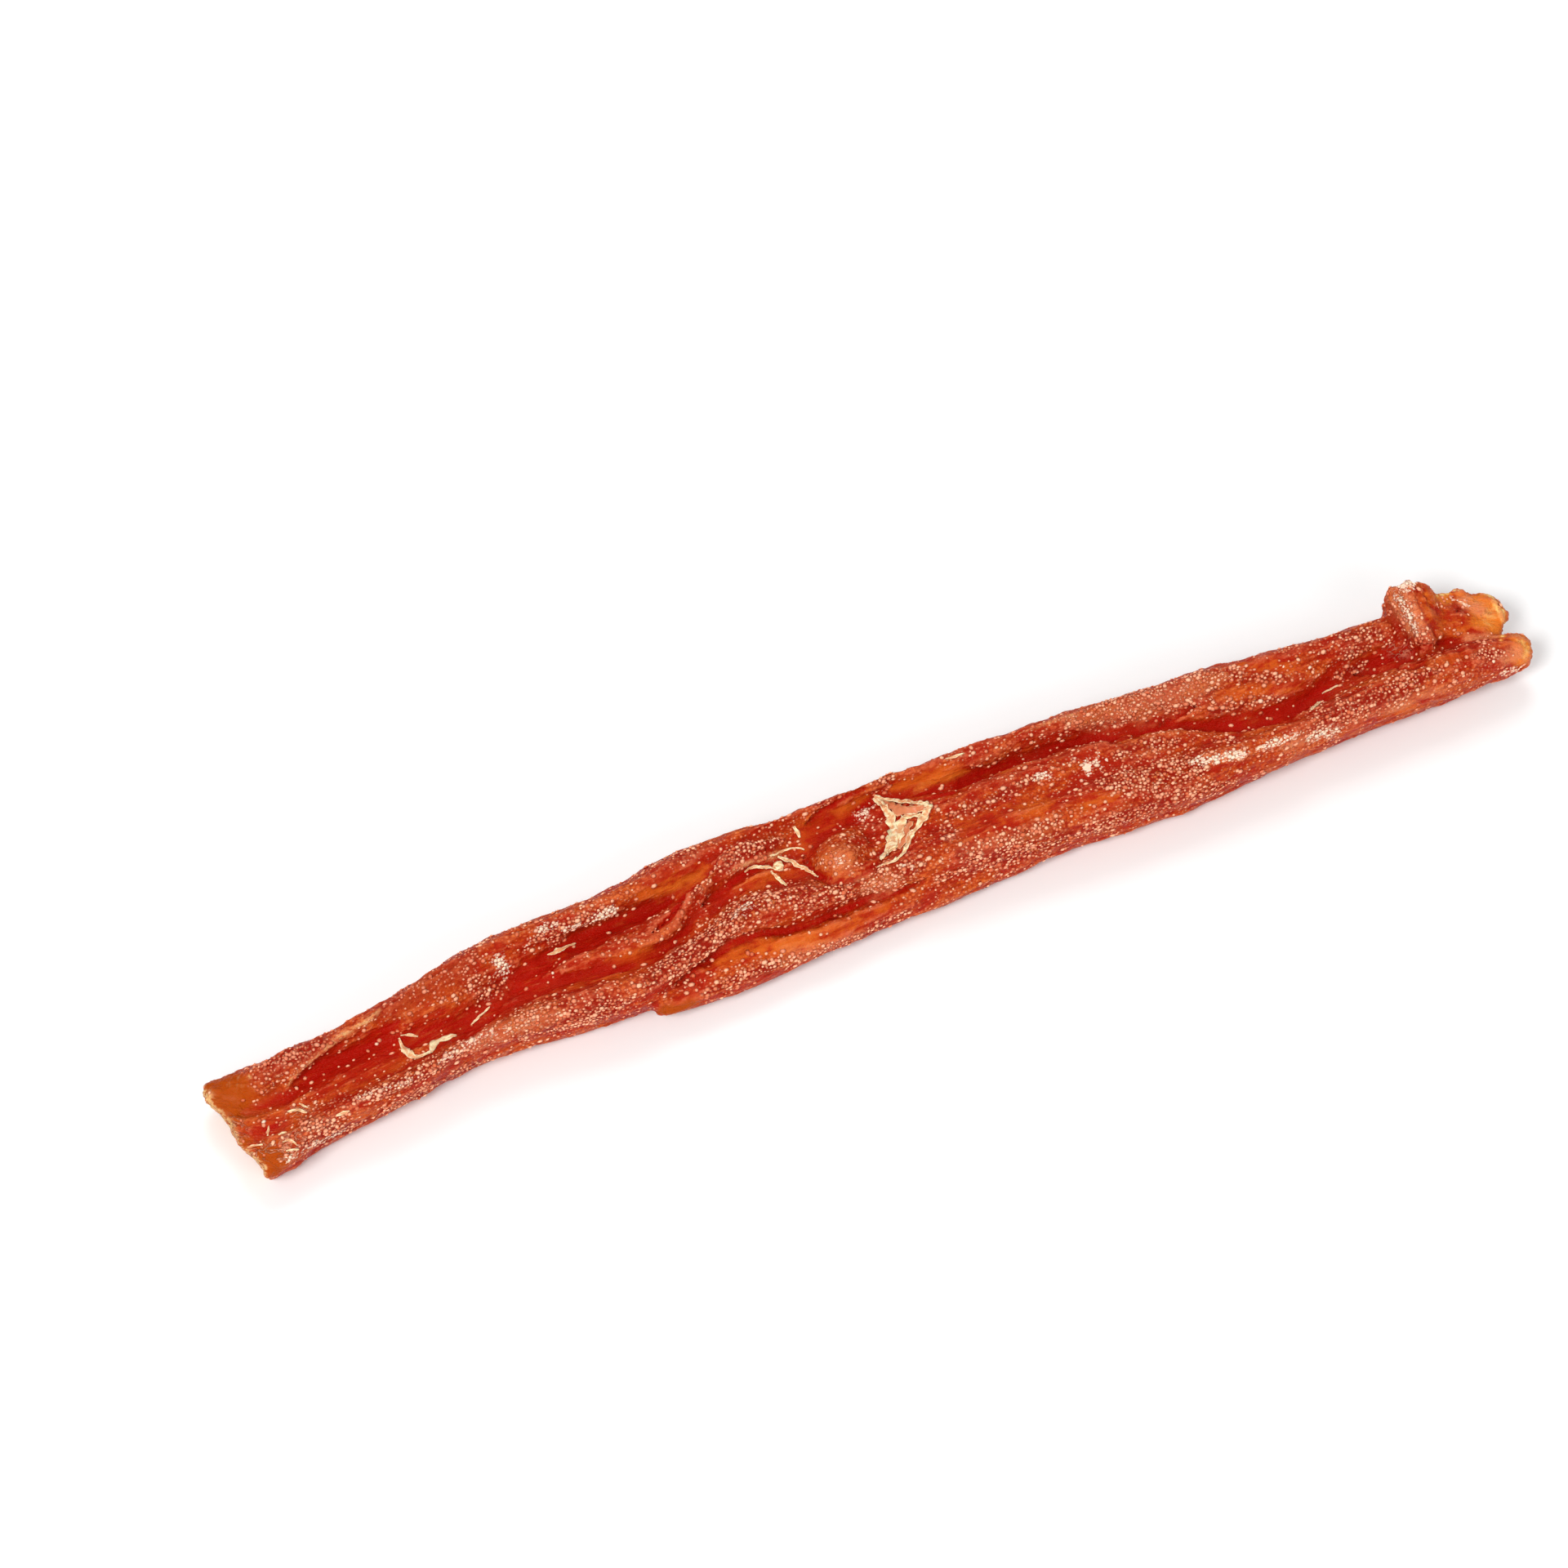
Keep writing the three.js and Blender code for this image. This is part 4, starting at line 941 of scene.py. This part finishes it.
# White frost in broken grains, partly real and partly painted highlights and glints, and cream
# along the driest edges and on the cut, with a painted highlight in cream along one ridge.
grains = grain(tree, along=1.9, across=3.2, detail=3.0, roughness=0.7)
frost_and_glint_mark = attribute(tree, "frost_and_glints")
frost_and_glint_share = product(
    tree, ramp(tree, total(tree, product(tree, frost_and_glint_mark, FROST_AND_GLINT_LIFT), grains), low=0.63, high=0.74),
    ramp(tree, frost_and_glint_mark, low=0.05, high=0.4), FROST_AND_GLINT_MOST,
)
colour = mixed(tree, frost_and_glint_share, colour, WHITE_FROST_AND_GLINT)
# Cream on the driest edges and on the cut, and a painted highlight in cream along one ridge.
cream_and_highlight_share = maths(
    tree, "MULTIPLY", attribute(tree, "creamy"), ramp(tree, specks, low=0.35, high=0.6), clamp=True,
)
colour = mixed(tree, cream_and_highlight_share, colour, CREAM)

height = weighed(
    tree, (streaks, 0.6), (specks, 0.5), (mottle, 0.8), (product(tree, pebble, pebbly), 0.5),
    (crease_share, 0.8), (stipple_share, 0.4),
)
bump = add_node(tree, "ShaderNodeBump", {"Strength": 1.0, "Distance": 0.3 * MM, "Height": height})
end_in_shader(tree, {
    "Base Color": colour,
    "Roughness": ramp(tree, dust_and_sheen, low=-0.5, high=0.6, to_low=0.28, to_high=0.42),
    "Normal": bump.outputs[0],
    "Subsurface Weight": 0.15,
    "Subsurface Radius": (1.0, 0.2, 0.05),
    "Subsurface Scale": 0.8 * MM,
    "Specular IOR Level": 0.12,
    "Specular Tint": (1.0, 0.6, 0.42, 1),
})
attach(meat, "root")
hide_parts("meat_stick")

# Beads of fat and juice that came out of the meat and dried on it as pale domes, a quarter to half
# a millimetre wide. They sit close together on the folds' crests, often in rows along the fibres,
# and thinly in the channels.
UPPER_SIDE = (0.8, 2.5)
BEADS_LEAST, BEADS_LEAST_BELOW, BEADS_CROWD = 0.04, 0.02, 1.4
BEAD_SIDES, BEAD_RINGS = 6, 2
BEAD_STRETCH, BEAD_FLAT = (0.85, 1.6), 0.6
SMALL_BEADS, SINGLE_GROWTH, PAINTED_SHADE_ON_BEADS = 2.2, 0.5, 0.75
ROW_CELLS, ROW_RANGE, ROW_LEAST = (0.3, 0.7, 0.7), (0.4, 0.55), 0.3
SIZE_SEED, TONE_SEED, STRETCH_SEED = 3, 7, 13
BEAD_SKIRT = (0.48, 0.04, 0.01, 1)
# The colour of beads in the patches of painted shade.
BEAD_PAINTED_SHADE = (0.66, 0.15, 0.08, 1)
BEAD_PINK = (0.68, 0.15, 0.065, 1)
BEAD_PALE = (1.0, 0.49, 0.3, 1)

shown = np.maximum(np.maximum(mark["frost_and_glints"], mark["single"]), BEADS_LEAST)
dot_share = smooth_step(places[:, 2], *UPPER_SIDE) * np.maximum(stippled, shown)
keep_on_corners(meat.data, "bead_share", np.clip(BEADS_CROWD * dot_share, BEADS_LEAST_BELOW, 1))

bead_finish, tree = new_material("dried_beads")
colour = mixed(tree, ramp(tree, attribute(tree, "tone"), low=0.0, high=1.0), BEAD_PINK, BEAD_PALE)
# Beads are darkened in the patches of painted shade too.
colour = mixed(tree, product(tree, attribute(tree, "painted_shade"), PAINTED_SHADE_ON_BEADS), colour, BEAD_PAINTED_SHADE)
# Beads under the frost marks, which are partly painted highlights, and single beads are whiter.
whiter = maths(tree, "MAXIMUM", attribute(tree, "frost_and_glints"), attribute(tree, "single"))
colour = mixed(tree, ramp(tree, whiter, low=0.2, high=0.7), colour, WHITE_FROST_AND_GLINT)
above_skirt = ramp(tree, attribute(tree, "top"), low=-0.05, high=0.3)
end_in_shader(tree, {
    "Base Color": mixed(tree, above_skirt, BEAD_SKIRT, colour),
    "Roughness": 0.35,
    "Subsurface Weight": 0.1,
    "Subsurface Radius": (1.0, 0.4, 0.2),
    "Subsurface Scale": 0.4 * MM,
    "Specular IOR Level": 0.08,
    "Specular Tint": (1.0, 0.75, 0.6, 1),
})


def random_value(tree, seed, least=0.0, most=1.0):
    return add_node(tree, "FunctionNodeRandomValue", {
        "Min": least, "Max": most, "Seed": seed,
    }, data_type="FLOAT").outputs["Value"]


def stored(tree, geometry, name, value, domain):
    """Geometry with a value stored on it by name."""
    return add_node(tree, "GeometryNodeStoreNamedAttribute", {
        "Geometry": geometry, "Name": name, "Value": value,
    }, data_type="FLOAT", domain=domain).outputs[0]


tree, entry, leave = new_geometry_tree("beads", {
    "Beads per square metre": "NodeSocketFloat",
    "Closest": "NodeSocketFloat",
    "Smallest half width": "NodeSocketFloat",
    "Largest half width": "NodeSocketFloat",
    "Seed": "NodeSocketInt",
})
fibre = named_values(tree, "fibre", "FLOAT_VECTOR")
in_rows = add_node(tree, "ShaderNodeMapRange", {
    "Value": stretched_noise(tree, fibre, ROW_CELLS, detail=3.0, roughness=0.65),
    "From Min": ROW_RANGE[0], "From Max": ROW_RANGE[1], "To Min": ROW_LEAST,
}).outputs[0]
scatter = add_node(tree, "GeometryNodeDistributePointsOnFaces", {
    "Mesh": entry["Geometry"],
    "Distance Min": entry["Closest"],
    "Density Max": entry["Beads per square metre"],
    "Density Factor": product(tree, named_values(tree, "bead_share"), in_rows),
    "Seed": entry["Seed"],
}, distribute_method="POISSON")
ball = add_node(tree, "GeometryNodeMeshUVSphere", {
    "Segments": BEAD_SIDES, "Rings": BEAD_RINGS,
}).outputs[0]
level = add_node(tree, "ShaderNodeSeparateXYZ", {
    0: add_node(tree, "GeometryNodeInputPosition").outputs[0],
}).outputs[2]
growth = total(
    tree, maths(tree, "POWER", random_value(tree, SIZE_SEED), SMALL_BEADS),
    product(tree, named_values(tree, "single"), SINGLE_GROWTH),
)
half_width = add_node(tree, "ShaderNodeMapRange", {
    "Value": growth, "To Min": entry["Smallest half width"],
    "To Max": entry["Largest half width"],
}).outputs[0]
scale = add_node(tree, "ShaderNodeCombineXYZ", {
    0: product(tree, half_width, random_value(tree, STRETCH_SEED, *BEAD_STRETCH)),
    1: half_width, 2: product(tree, half_width, BEAD_FLAT),
}).outputs[0]
placed = add_node(tree, "GeometryNodeInstanceOnPoints", {
    "Points": scatter.outputs["Points"],
    "Instance": stored(tree, ball, "top", level, "POINT"),
    "Rotation": scatter.outputs["Rotation"],
    "Scale": scale,
}).outputs[0]
bead_tones = stored(tree, placed, "tone", random_value(tree, TONE_SEED), "INSTANCE")
end_in_finish(tree, bead_tones, bead_finish, leave)
bead_bed = linked(meat.data.copy(), "bead_bed")
grow_by_tree(bead_bed, tree, {
    "Beads per square metre": 3.0e7,
    "Closest": 0.285 * MM,
    "Smallest half width": 0.12 * MM,
    "Largest half width": 0.255 * MM,
    "Seed": 5,
})
beads = plain_mesh(bead_bed, "dried_beads")
beads.data.shade_smooth()
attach(beads, "root")

# Torn skins: shreds of the thin dry membrane that covers the muscle. They have torn and curled up
# in drying and cling to the meat, pale cream and nearly dry. Fine loose fibres lie beside them.
# Each has its widths in millimetres, from end to end, and the points of the picture that it runs
# through.
SKIN_THICK, SKIN_LIFT, LEAST_LIFT = 0.08, 0.08, 0.03
SKIN_CURL, LEAST_CURL, RUFFLED, TORN_WAVER = 0.22, 0.3, 0.1, 0.5
SKIN_STEP, LEAST_STEPS, PATH_EVENING = 0.15, 7, 2
CURLED_HALF, CREAMY_WIDTH, NARROW_DRYNESS, DRY_LIFT = 0.4, 0.6, 0.5, 0.2
ACROSS_SKIN = np.array([-1, -0.5, 0, 0.5, 1])
TORN = [
    ((0.3, 0.7, 0.9, 0.7, 0.7, 0.3), [(1070, 976), (1078, 984), (1087, 993), (1093, 1003),
        (1092, 1014), (1096, 1025), (1093, 1039), (1079, 1053)]),
    ((0.8, 1.7, 1.5, 1.1, 0.7, 0.3), [(1108, 1000), (1105, 1008), (1102, 1018), (1095, 1030),
        (1088, 1041), (1081, 1052)]),
    ((0.3, 0.55, 0.5, 0.3), [(1094, 980), (1105, 981), (1119, 984), (1130, 986), (1137, 984)]),
    ((0.5, 0.35, 0.2), [(1070, 976), (1084, 979), (1096, 980)]),
    ((0.5, 0.8, 0.5, 0.5, 0.35, 0.2), [(1137, 985), (1133, 1000), (1127, 1010), (1119, 1018),
        (1111, 1025), (1112, 1036), (1108, 1045), (1099, 1052)]),
    ((0.3, 0.3, 0.15), [(1099, 1052), (1087, 1059), (1074, 1062)]),
    ((0.3, 0.6, 0.3), [(1104, 1001), (1119, 999), (1131, 998)]),
    ((0.2, 0.35, 0.3, 0.15), [(911, 1067), (920, 1060), (938, 1063), (959, 1065)]),
    ((0.15, 0.35, 0.2), [(943, 1067), (952, 1074), (963, 1085)]),
    ((0.2, 0.5, 0.35, 0.15), [(952, 1049), (963, 1053), (975, 1058), (988, 1065), (1002, 1074)]),
    ((0.3, 0.9, 0.3), [(947, 1060), (953, 1063), (959, 1062)]),
    ((0.15, 0.25, 0.1), [(943, 1049), (963, 1040), (979, 1037), (985, 1041)]),
    ((0.2, 0.4, 0.2), [(972, 1012), (976, 1019), (979, 1026)]),
    ((0.2, 0.5, 0.7, 0.4, 0.25), [(488, 1271), (494, 1283), (500, 1292), (508, 1298), (517, 1294),
        (528, 1288)]),
    ((0.3, 0.6, 0.45, 0.45, 0.2), [(528, 1289), (530, 1276), (540, 1274), (551, 1270),
        (559, 1268)]),
    ((0.15, 0.25, 0.15), [(490, 1267), (503, 1266), (512, 1269)]),
    ((0.1, 0.6, 0.3, 0.1), [(670, 1169), (680, 1168), (686, 1162), (695, 1158), (705, 1155)]),
    ((0.1, 0.28, 0.1), [(577, 1255), (591, 1242), (600, 1233)]),
    ((0.3, 0.6, 0.3), [(1607, 869), (1611, 864), (1616, 860)]),
    ((0.1, 0.25, 0.1), [(1619, 850), (1628, 844), (1639, 840)]),
    ((0.1, 0.3, 0.3, 0.1), [(352, 1362), (360, 1359), (368, 1359), (376, 1363)]),
    ((0.1, 0.22, 0.1), [(366, 1351), (372, 1352), (377, 1357)]),
    ((0.1, 0.2, 0.1), [(329, 1379), (330, 1385), (328, 1391)]),
    ((0.1, 0.2, 0.2, 0.1), [(341, 1390), (343, 1384), (348, 1382), (351, 1387)]),
    ((0.1, 0.3, 0.3, 0.1), [(411, 1366), (419, 1362), (428, 1360)]),
    ((0.1, 0.2, 0.2, 0.1), [(346, 1399), (352, 1394), (360, 1396), (364, 1402)]),
    ((0.1, 0.2, 0.1), [(350, 1409), (358, 1405), (366, 1407)]),
    ((0.1, 0.2, 0.1), [(303, 1405), (312, 1401), (322, 1402)]),
    ((0.1, 0.25, 0.1), [(1157, 930), (1168, 927), (1180, 923)]),
]
THIN_SKINS = [
    ((0.4, 1.0, 1.2, 1.2, 1.0, 0.4), [(1078, 982), (1090, 988), (1102, 993), (1114, 994),
        (1125, 991), (1134, 989)]),
    ((0.4, 0.9, 0.8, 0.3), [(1116, 1006), (1111, 1018), (1105, 1030), (1101, 1040)]),
]


def unit(vectors):
    return vectors / np.linalg.norm(vectors, axis=-1, keepdims=True)


def torn_strip(widths, picture_points):
    """Corners and faces of one shred of skin along a stroke, and how dry each corner is."""
    middle = seen_places(meat_tree, picture_points)
    for _ in range(PATH_EVENING):
        middle[1:-1] = (middle[:-2] + 2 * middle[1:-1] + middle[2:]) / 4
    run = distances_along(middle)
    stops = np.linspace(0, run[-1], max(LEAST_STEPS, int(run[-1] / SKIN_STEP)))
    middle = np.stack([np.interp(stops, run, middle[:, k]) for k in range(3)], axis=1)
    count = len(middle)
    half = np.interp(np.linspace(0, 1, count), np.linspace(0, 1, len(widths)), widths) / 2
    along = unit(np.gradient(middle, axis=0))
    outward = unit(np.array([meat_tree.find_nearest(Vector(p))[1] for p in middle]))
    across = unit(np.cross(outward, along))
    curl = SKIN_CURL * (LEAST_CURL + np.abs(uneven(count, turns=4)))
    ruffle = np.stack([RUFFLED * uneven(count) for _ in ACROSS_SKIN], axis=1)
    torn = np.stack([1 + TORN_WAVER * uneven(count) for _ in ACROSS_SKIN], axis=1)
    top, bottom = [], []
    for i in range(count):
        for j, side in enumerate(ACROSS_SKIN):
            place = middle[i] + across[i] * side * half[i] * torn[i, j]
            surface, normal = meat_tree.find_nearest(Vector(place))[:2]
            curled = min(half[i], CURLED_HALF) * (curl[i] * side ** 2 + ruffle[i, j]) / CURLED_HALF
            top.append(np.array(surface) + np.array(normal) * max(SKIN_LIFT + curled, LEAST_LIFT))
            bottom.append(top[-1] - SKIN_THICK * np.array(normal))
    wide = len(ACROSS_SKIN)
    lower = count * wide
    faces = []
    for i in range(count - 1):
        for j in range(wide - 1):
            a = i * wide + j
            ring = (a, a + wide, a + wide + 1, a + 1)
            faces += [ring, tuple(lower + k for k in reversed(ring))]
        left, right = i * wide, i * wide + wide - 1
        faces += [(left, left + lower, left + wide + lower, left + wide),
                  (right + wide, right + wide + lower, right + lower, right)]
    for j in range(wide - 1):
        last = (count - 1) * wide + j
        faces += [(j + 1, j + 1 + lower, j + lower, j),
                  (last, last + lower, last + 1 + lower, last + 1)]
    dryness = NARROW_DRYNESS + (1 - NARROW_DRYNESS) * min(1, max(widths) / CREAMY_WIDTH)
    return top + bottom, faces, dryness * np.tile(np.abs(ACROSS_SKIN), 2 * count)


# A thin skin's dryness is lowered by 1, by which its finish tells it from the others.
skin_corners, skin_faces, skin_dry = [], [], []
for number, (widths, picture_points) in enumerate(TORN + THIN_SKINS):
    corners, faces, dry = torn_strip(widths, picture_points)
    skin_dry += list(dry - (number >= len(TORN)))
    skin_faces += [tuple(k + len(skin_corners) for k in face) for face in faces]
    skin_corners += corners
skin_mesh = bpy.data.meshes.new("torn_skins")
skin_mesh.from_pydata([Vector(p) * MM for p in skin_corners], [], skin_faces)
skins = linked(skin_mesh, "torn_skins")
outward_faces = bmesh.new()
outward_faces.from_mesh(skin_mesh)
bmesh.ops.recalc_face_normals(outward_faces, faces=outward_faces.faces)
outward_faces.to_mesh(skin_mesh)
outward_faces.free()
skin_mesh.shade_smooth()
keep_on_corners(skin_mesh, "fibre", fibre_places(np.array(skin_corners)))
keep_on_corners(skin_mesh, "dry", np.array(skin_dry))

SKIN_THIN = (0.68, 0.2, 0.08, 1)
SKIN_PINK = (0.74, 0.32, 0.14, 1)
SKIN_CREAM = (1.0, 0.79, 0.46, 1)
skin_finish, tree = new_material("dry_skin")
folds = grain(tree, along=1.5, across=2.5, detail=3.0, roughness=0.6)
dry_here = attribute(tree, "dry")
dry_share = total(tree, folds, product(tree, dry_here, DRY_LIFT))
colour = mixed(tree, ramp(tree, dry_share, low=0.45, high=0.72), SKIN_PINK, SKIN_CREAM)
bump = add_node(tree, "ShaderNodeBump", {"Strength": 0.6, "Distance": 0.08 * MM, "Height": folds})
end_in_shader(tree, {
    "Base Color": mixed(tree, ramp(tree, dry_here, low=-0.3, high=0.0), SKIN_THIN, colour),
    "Roughness": 0.4,
    "Normal": bump.outputs[0],
    "Subsurface Weight": 0.2,
    "Subsurface Radius": (1.0, 0.6, 0.3),
    "Subsurface Scale": 0.4 * MM,
    "Specular IOR Level": 0.4,
})
skin_mesh.materials.append(skin_finish)
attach(skins, "root")

# The table: a plain pale sheet a hair below the meat, with soft light from three square lamps. Two
# hang in front of the stick and one behind it, and the room round them is evenly white.
FLOOR_HALF = 3.0
FLOOR_LEVEL = -0.02 * MM
FLOOR_WHITE = (0.93, 0.93, 0.925, 1)
ROOM_WHITE, ROOM_LIGHT = (1, 1, 1, 1), 0.4
LAMP_DISTANCE = 0.9
floor_mesh = bpy.data.meshes.new("table")
floor_mesh.from_pydata([
    (-FLOOR_HALF, -FLOOR_HALF, FLOOR_LEVEL), (FLOOR_HALF, -FLOOR_HALF, FLOOR_LEVEL),
    (FLOOR_HALF, FLOOR_HALF, FLOOR_LEVEL), (-FLOOR_HALF, FLOOR_HALF, FLOOR_LEVEL),
], [], [(0, 1, 2, 3)])
floor = linked(floor_mesh, "table")
table_finish, tree = new_material("pale_table")
end_in_shader(tree, {"Base Color": FLOOR_WHITE, "Roughness": 0.8})
floor_mesh.materials.append(table_finish)

world = bpy.data.worlds.new("studio")
world.use_nodes = True
background = world.node_tree.nodes["Background"]
background.inputs["Color"].default_value = ROOM_WHITE
background.inputs["Strength"].default_value = ROOM_LIGHT
scene.world = world
scene.view_settings.view_transform = "Standard"


def lamp(name, turn, rise, side, watts):
    """A square soft lamp that faces the stick, placed by its angles as the camera is."""
    data = bpy.data.lights.new(name, "AREA")
    data.shape = "SQUARE"
    data.size = side
    data.energy = watts
    made = bpy.data.objects.new(name, data)
    scene.collection.objects.link(made)
    made.location = direction(turn, rise) * LAMP_DISTANCE
    face_against(made, direction(turn, rise))


lamp("key_lamp", turn=-60, rise=50, side=0.3, watts=5.2)
lamp("front_lamp", turn=10, rise=32, side=0.5, watts=2.4)
lamp("back_lamp", turn=160, rise=55, side=0.4, watts=2.2)
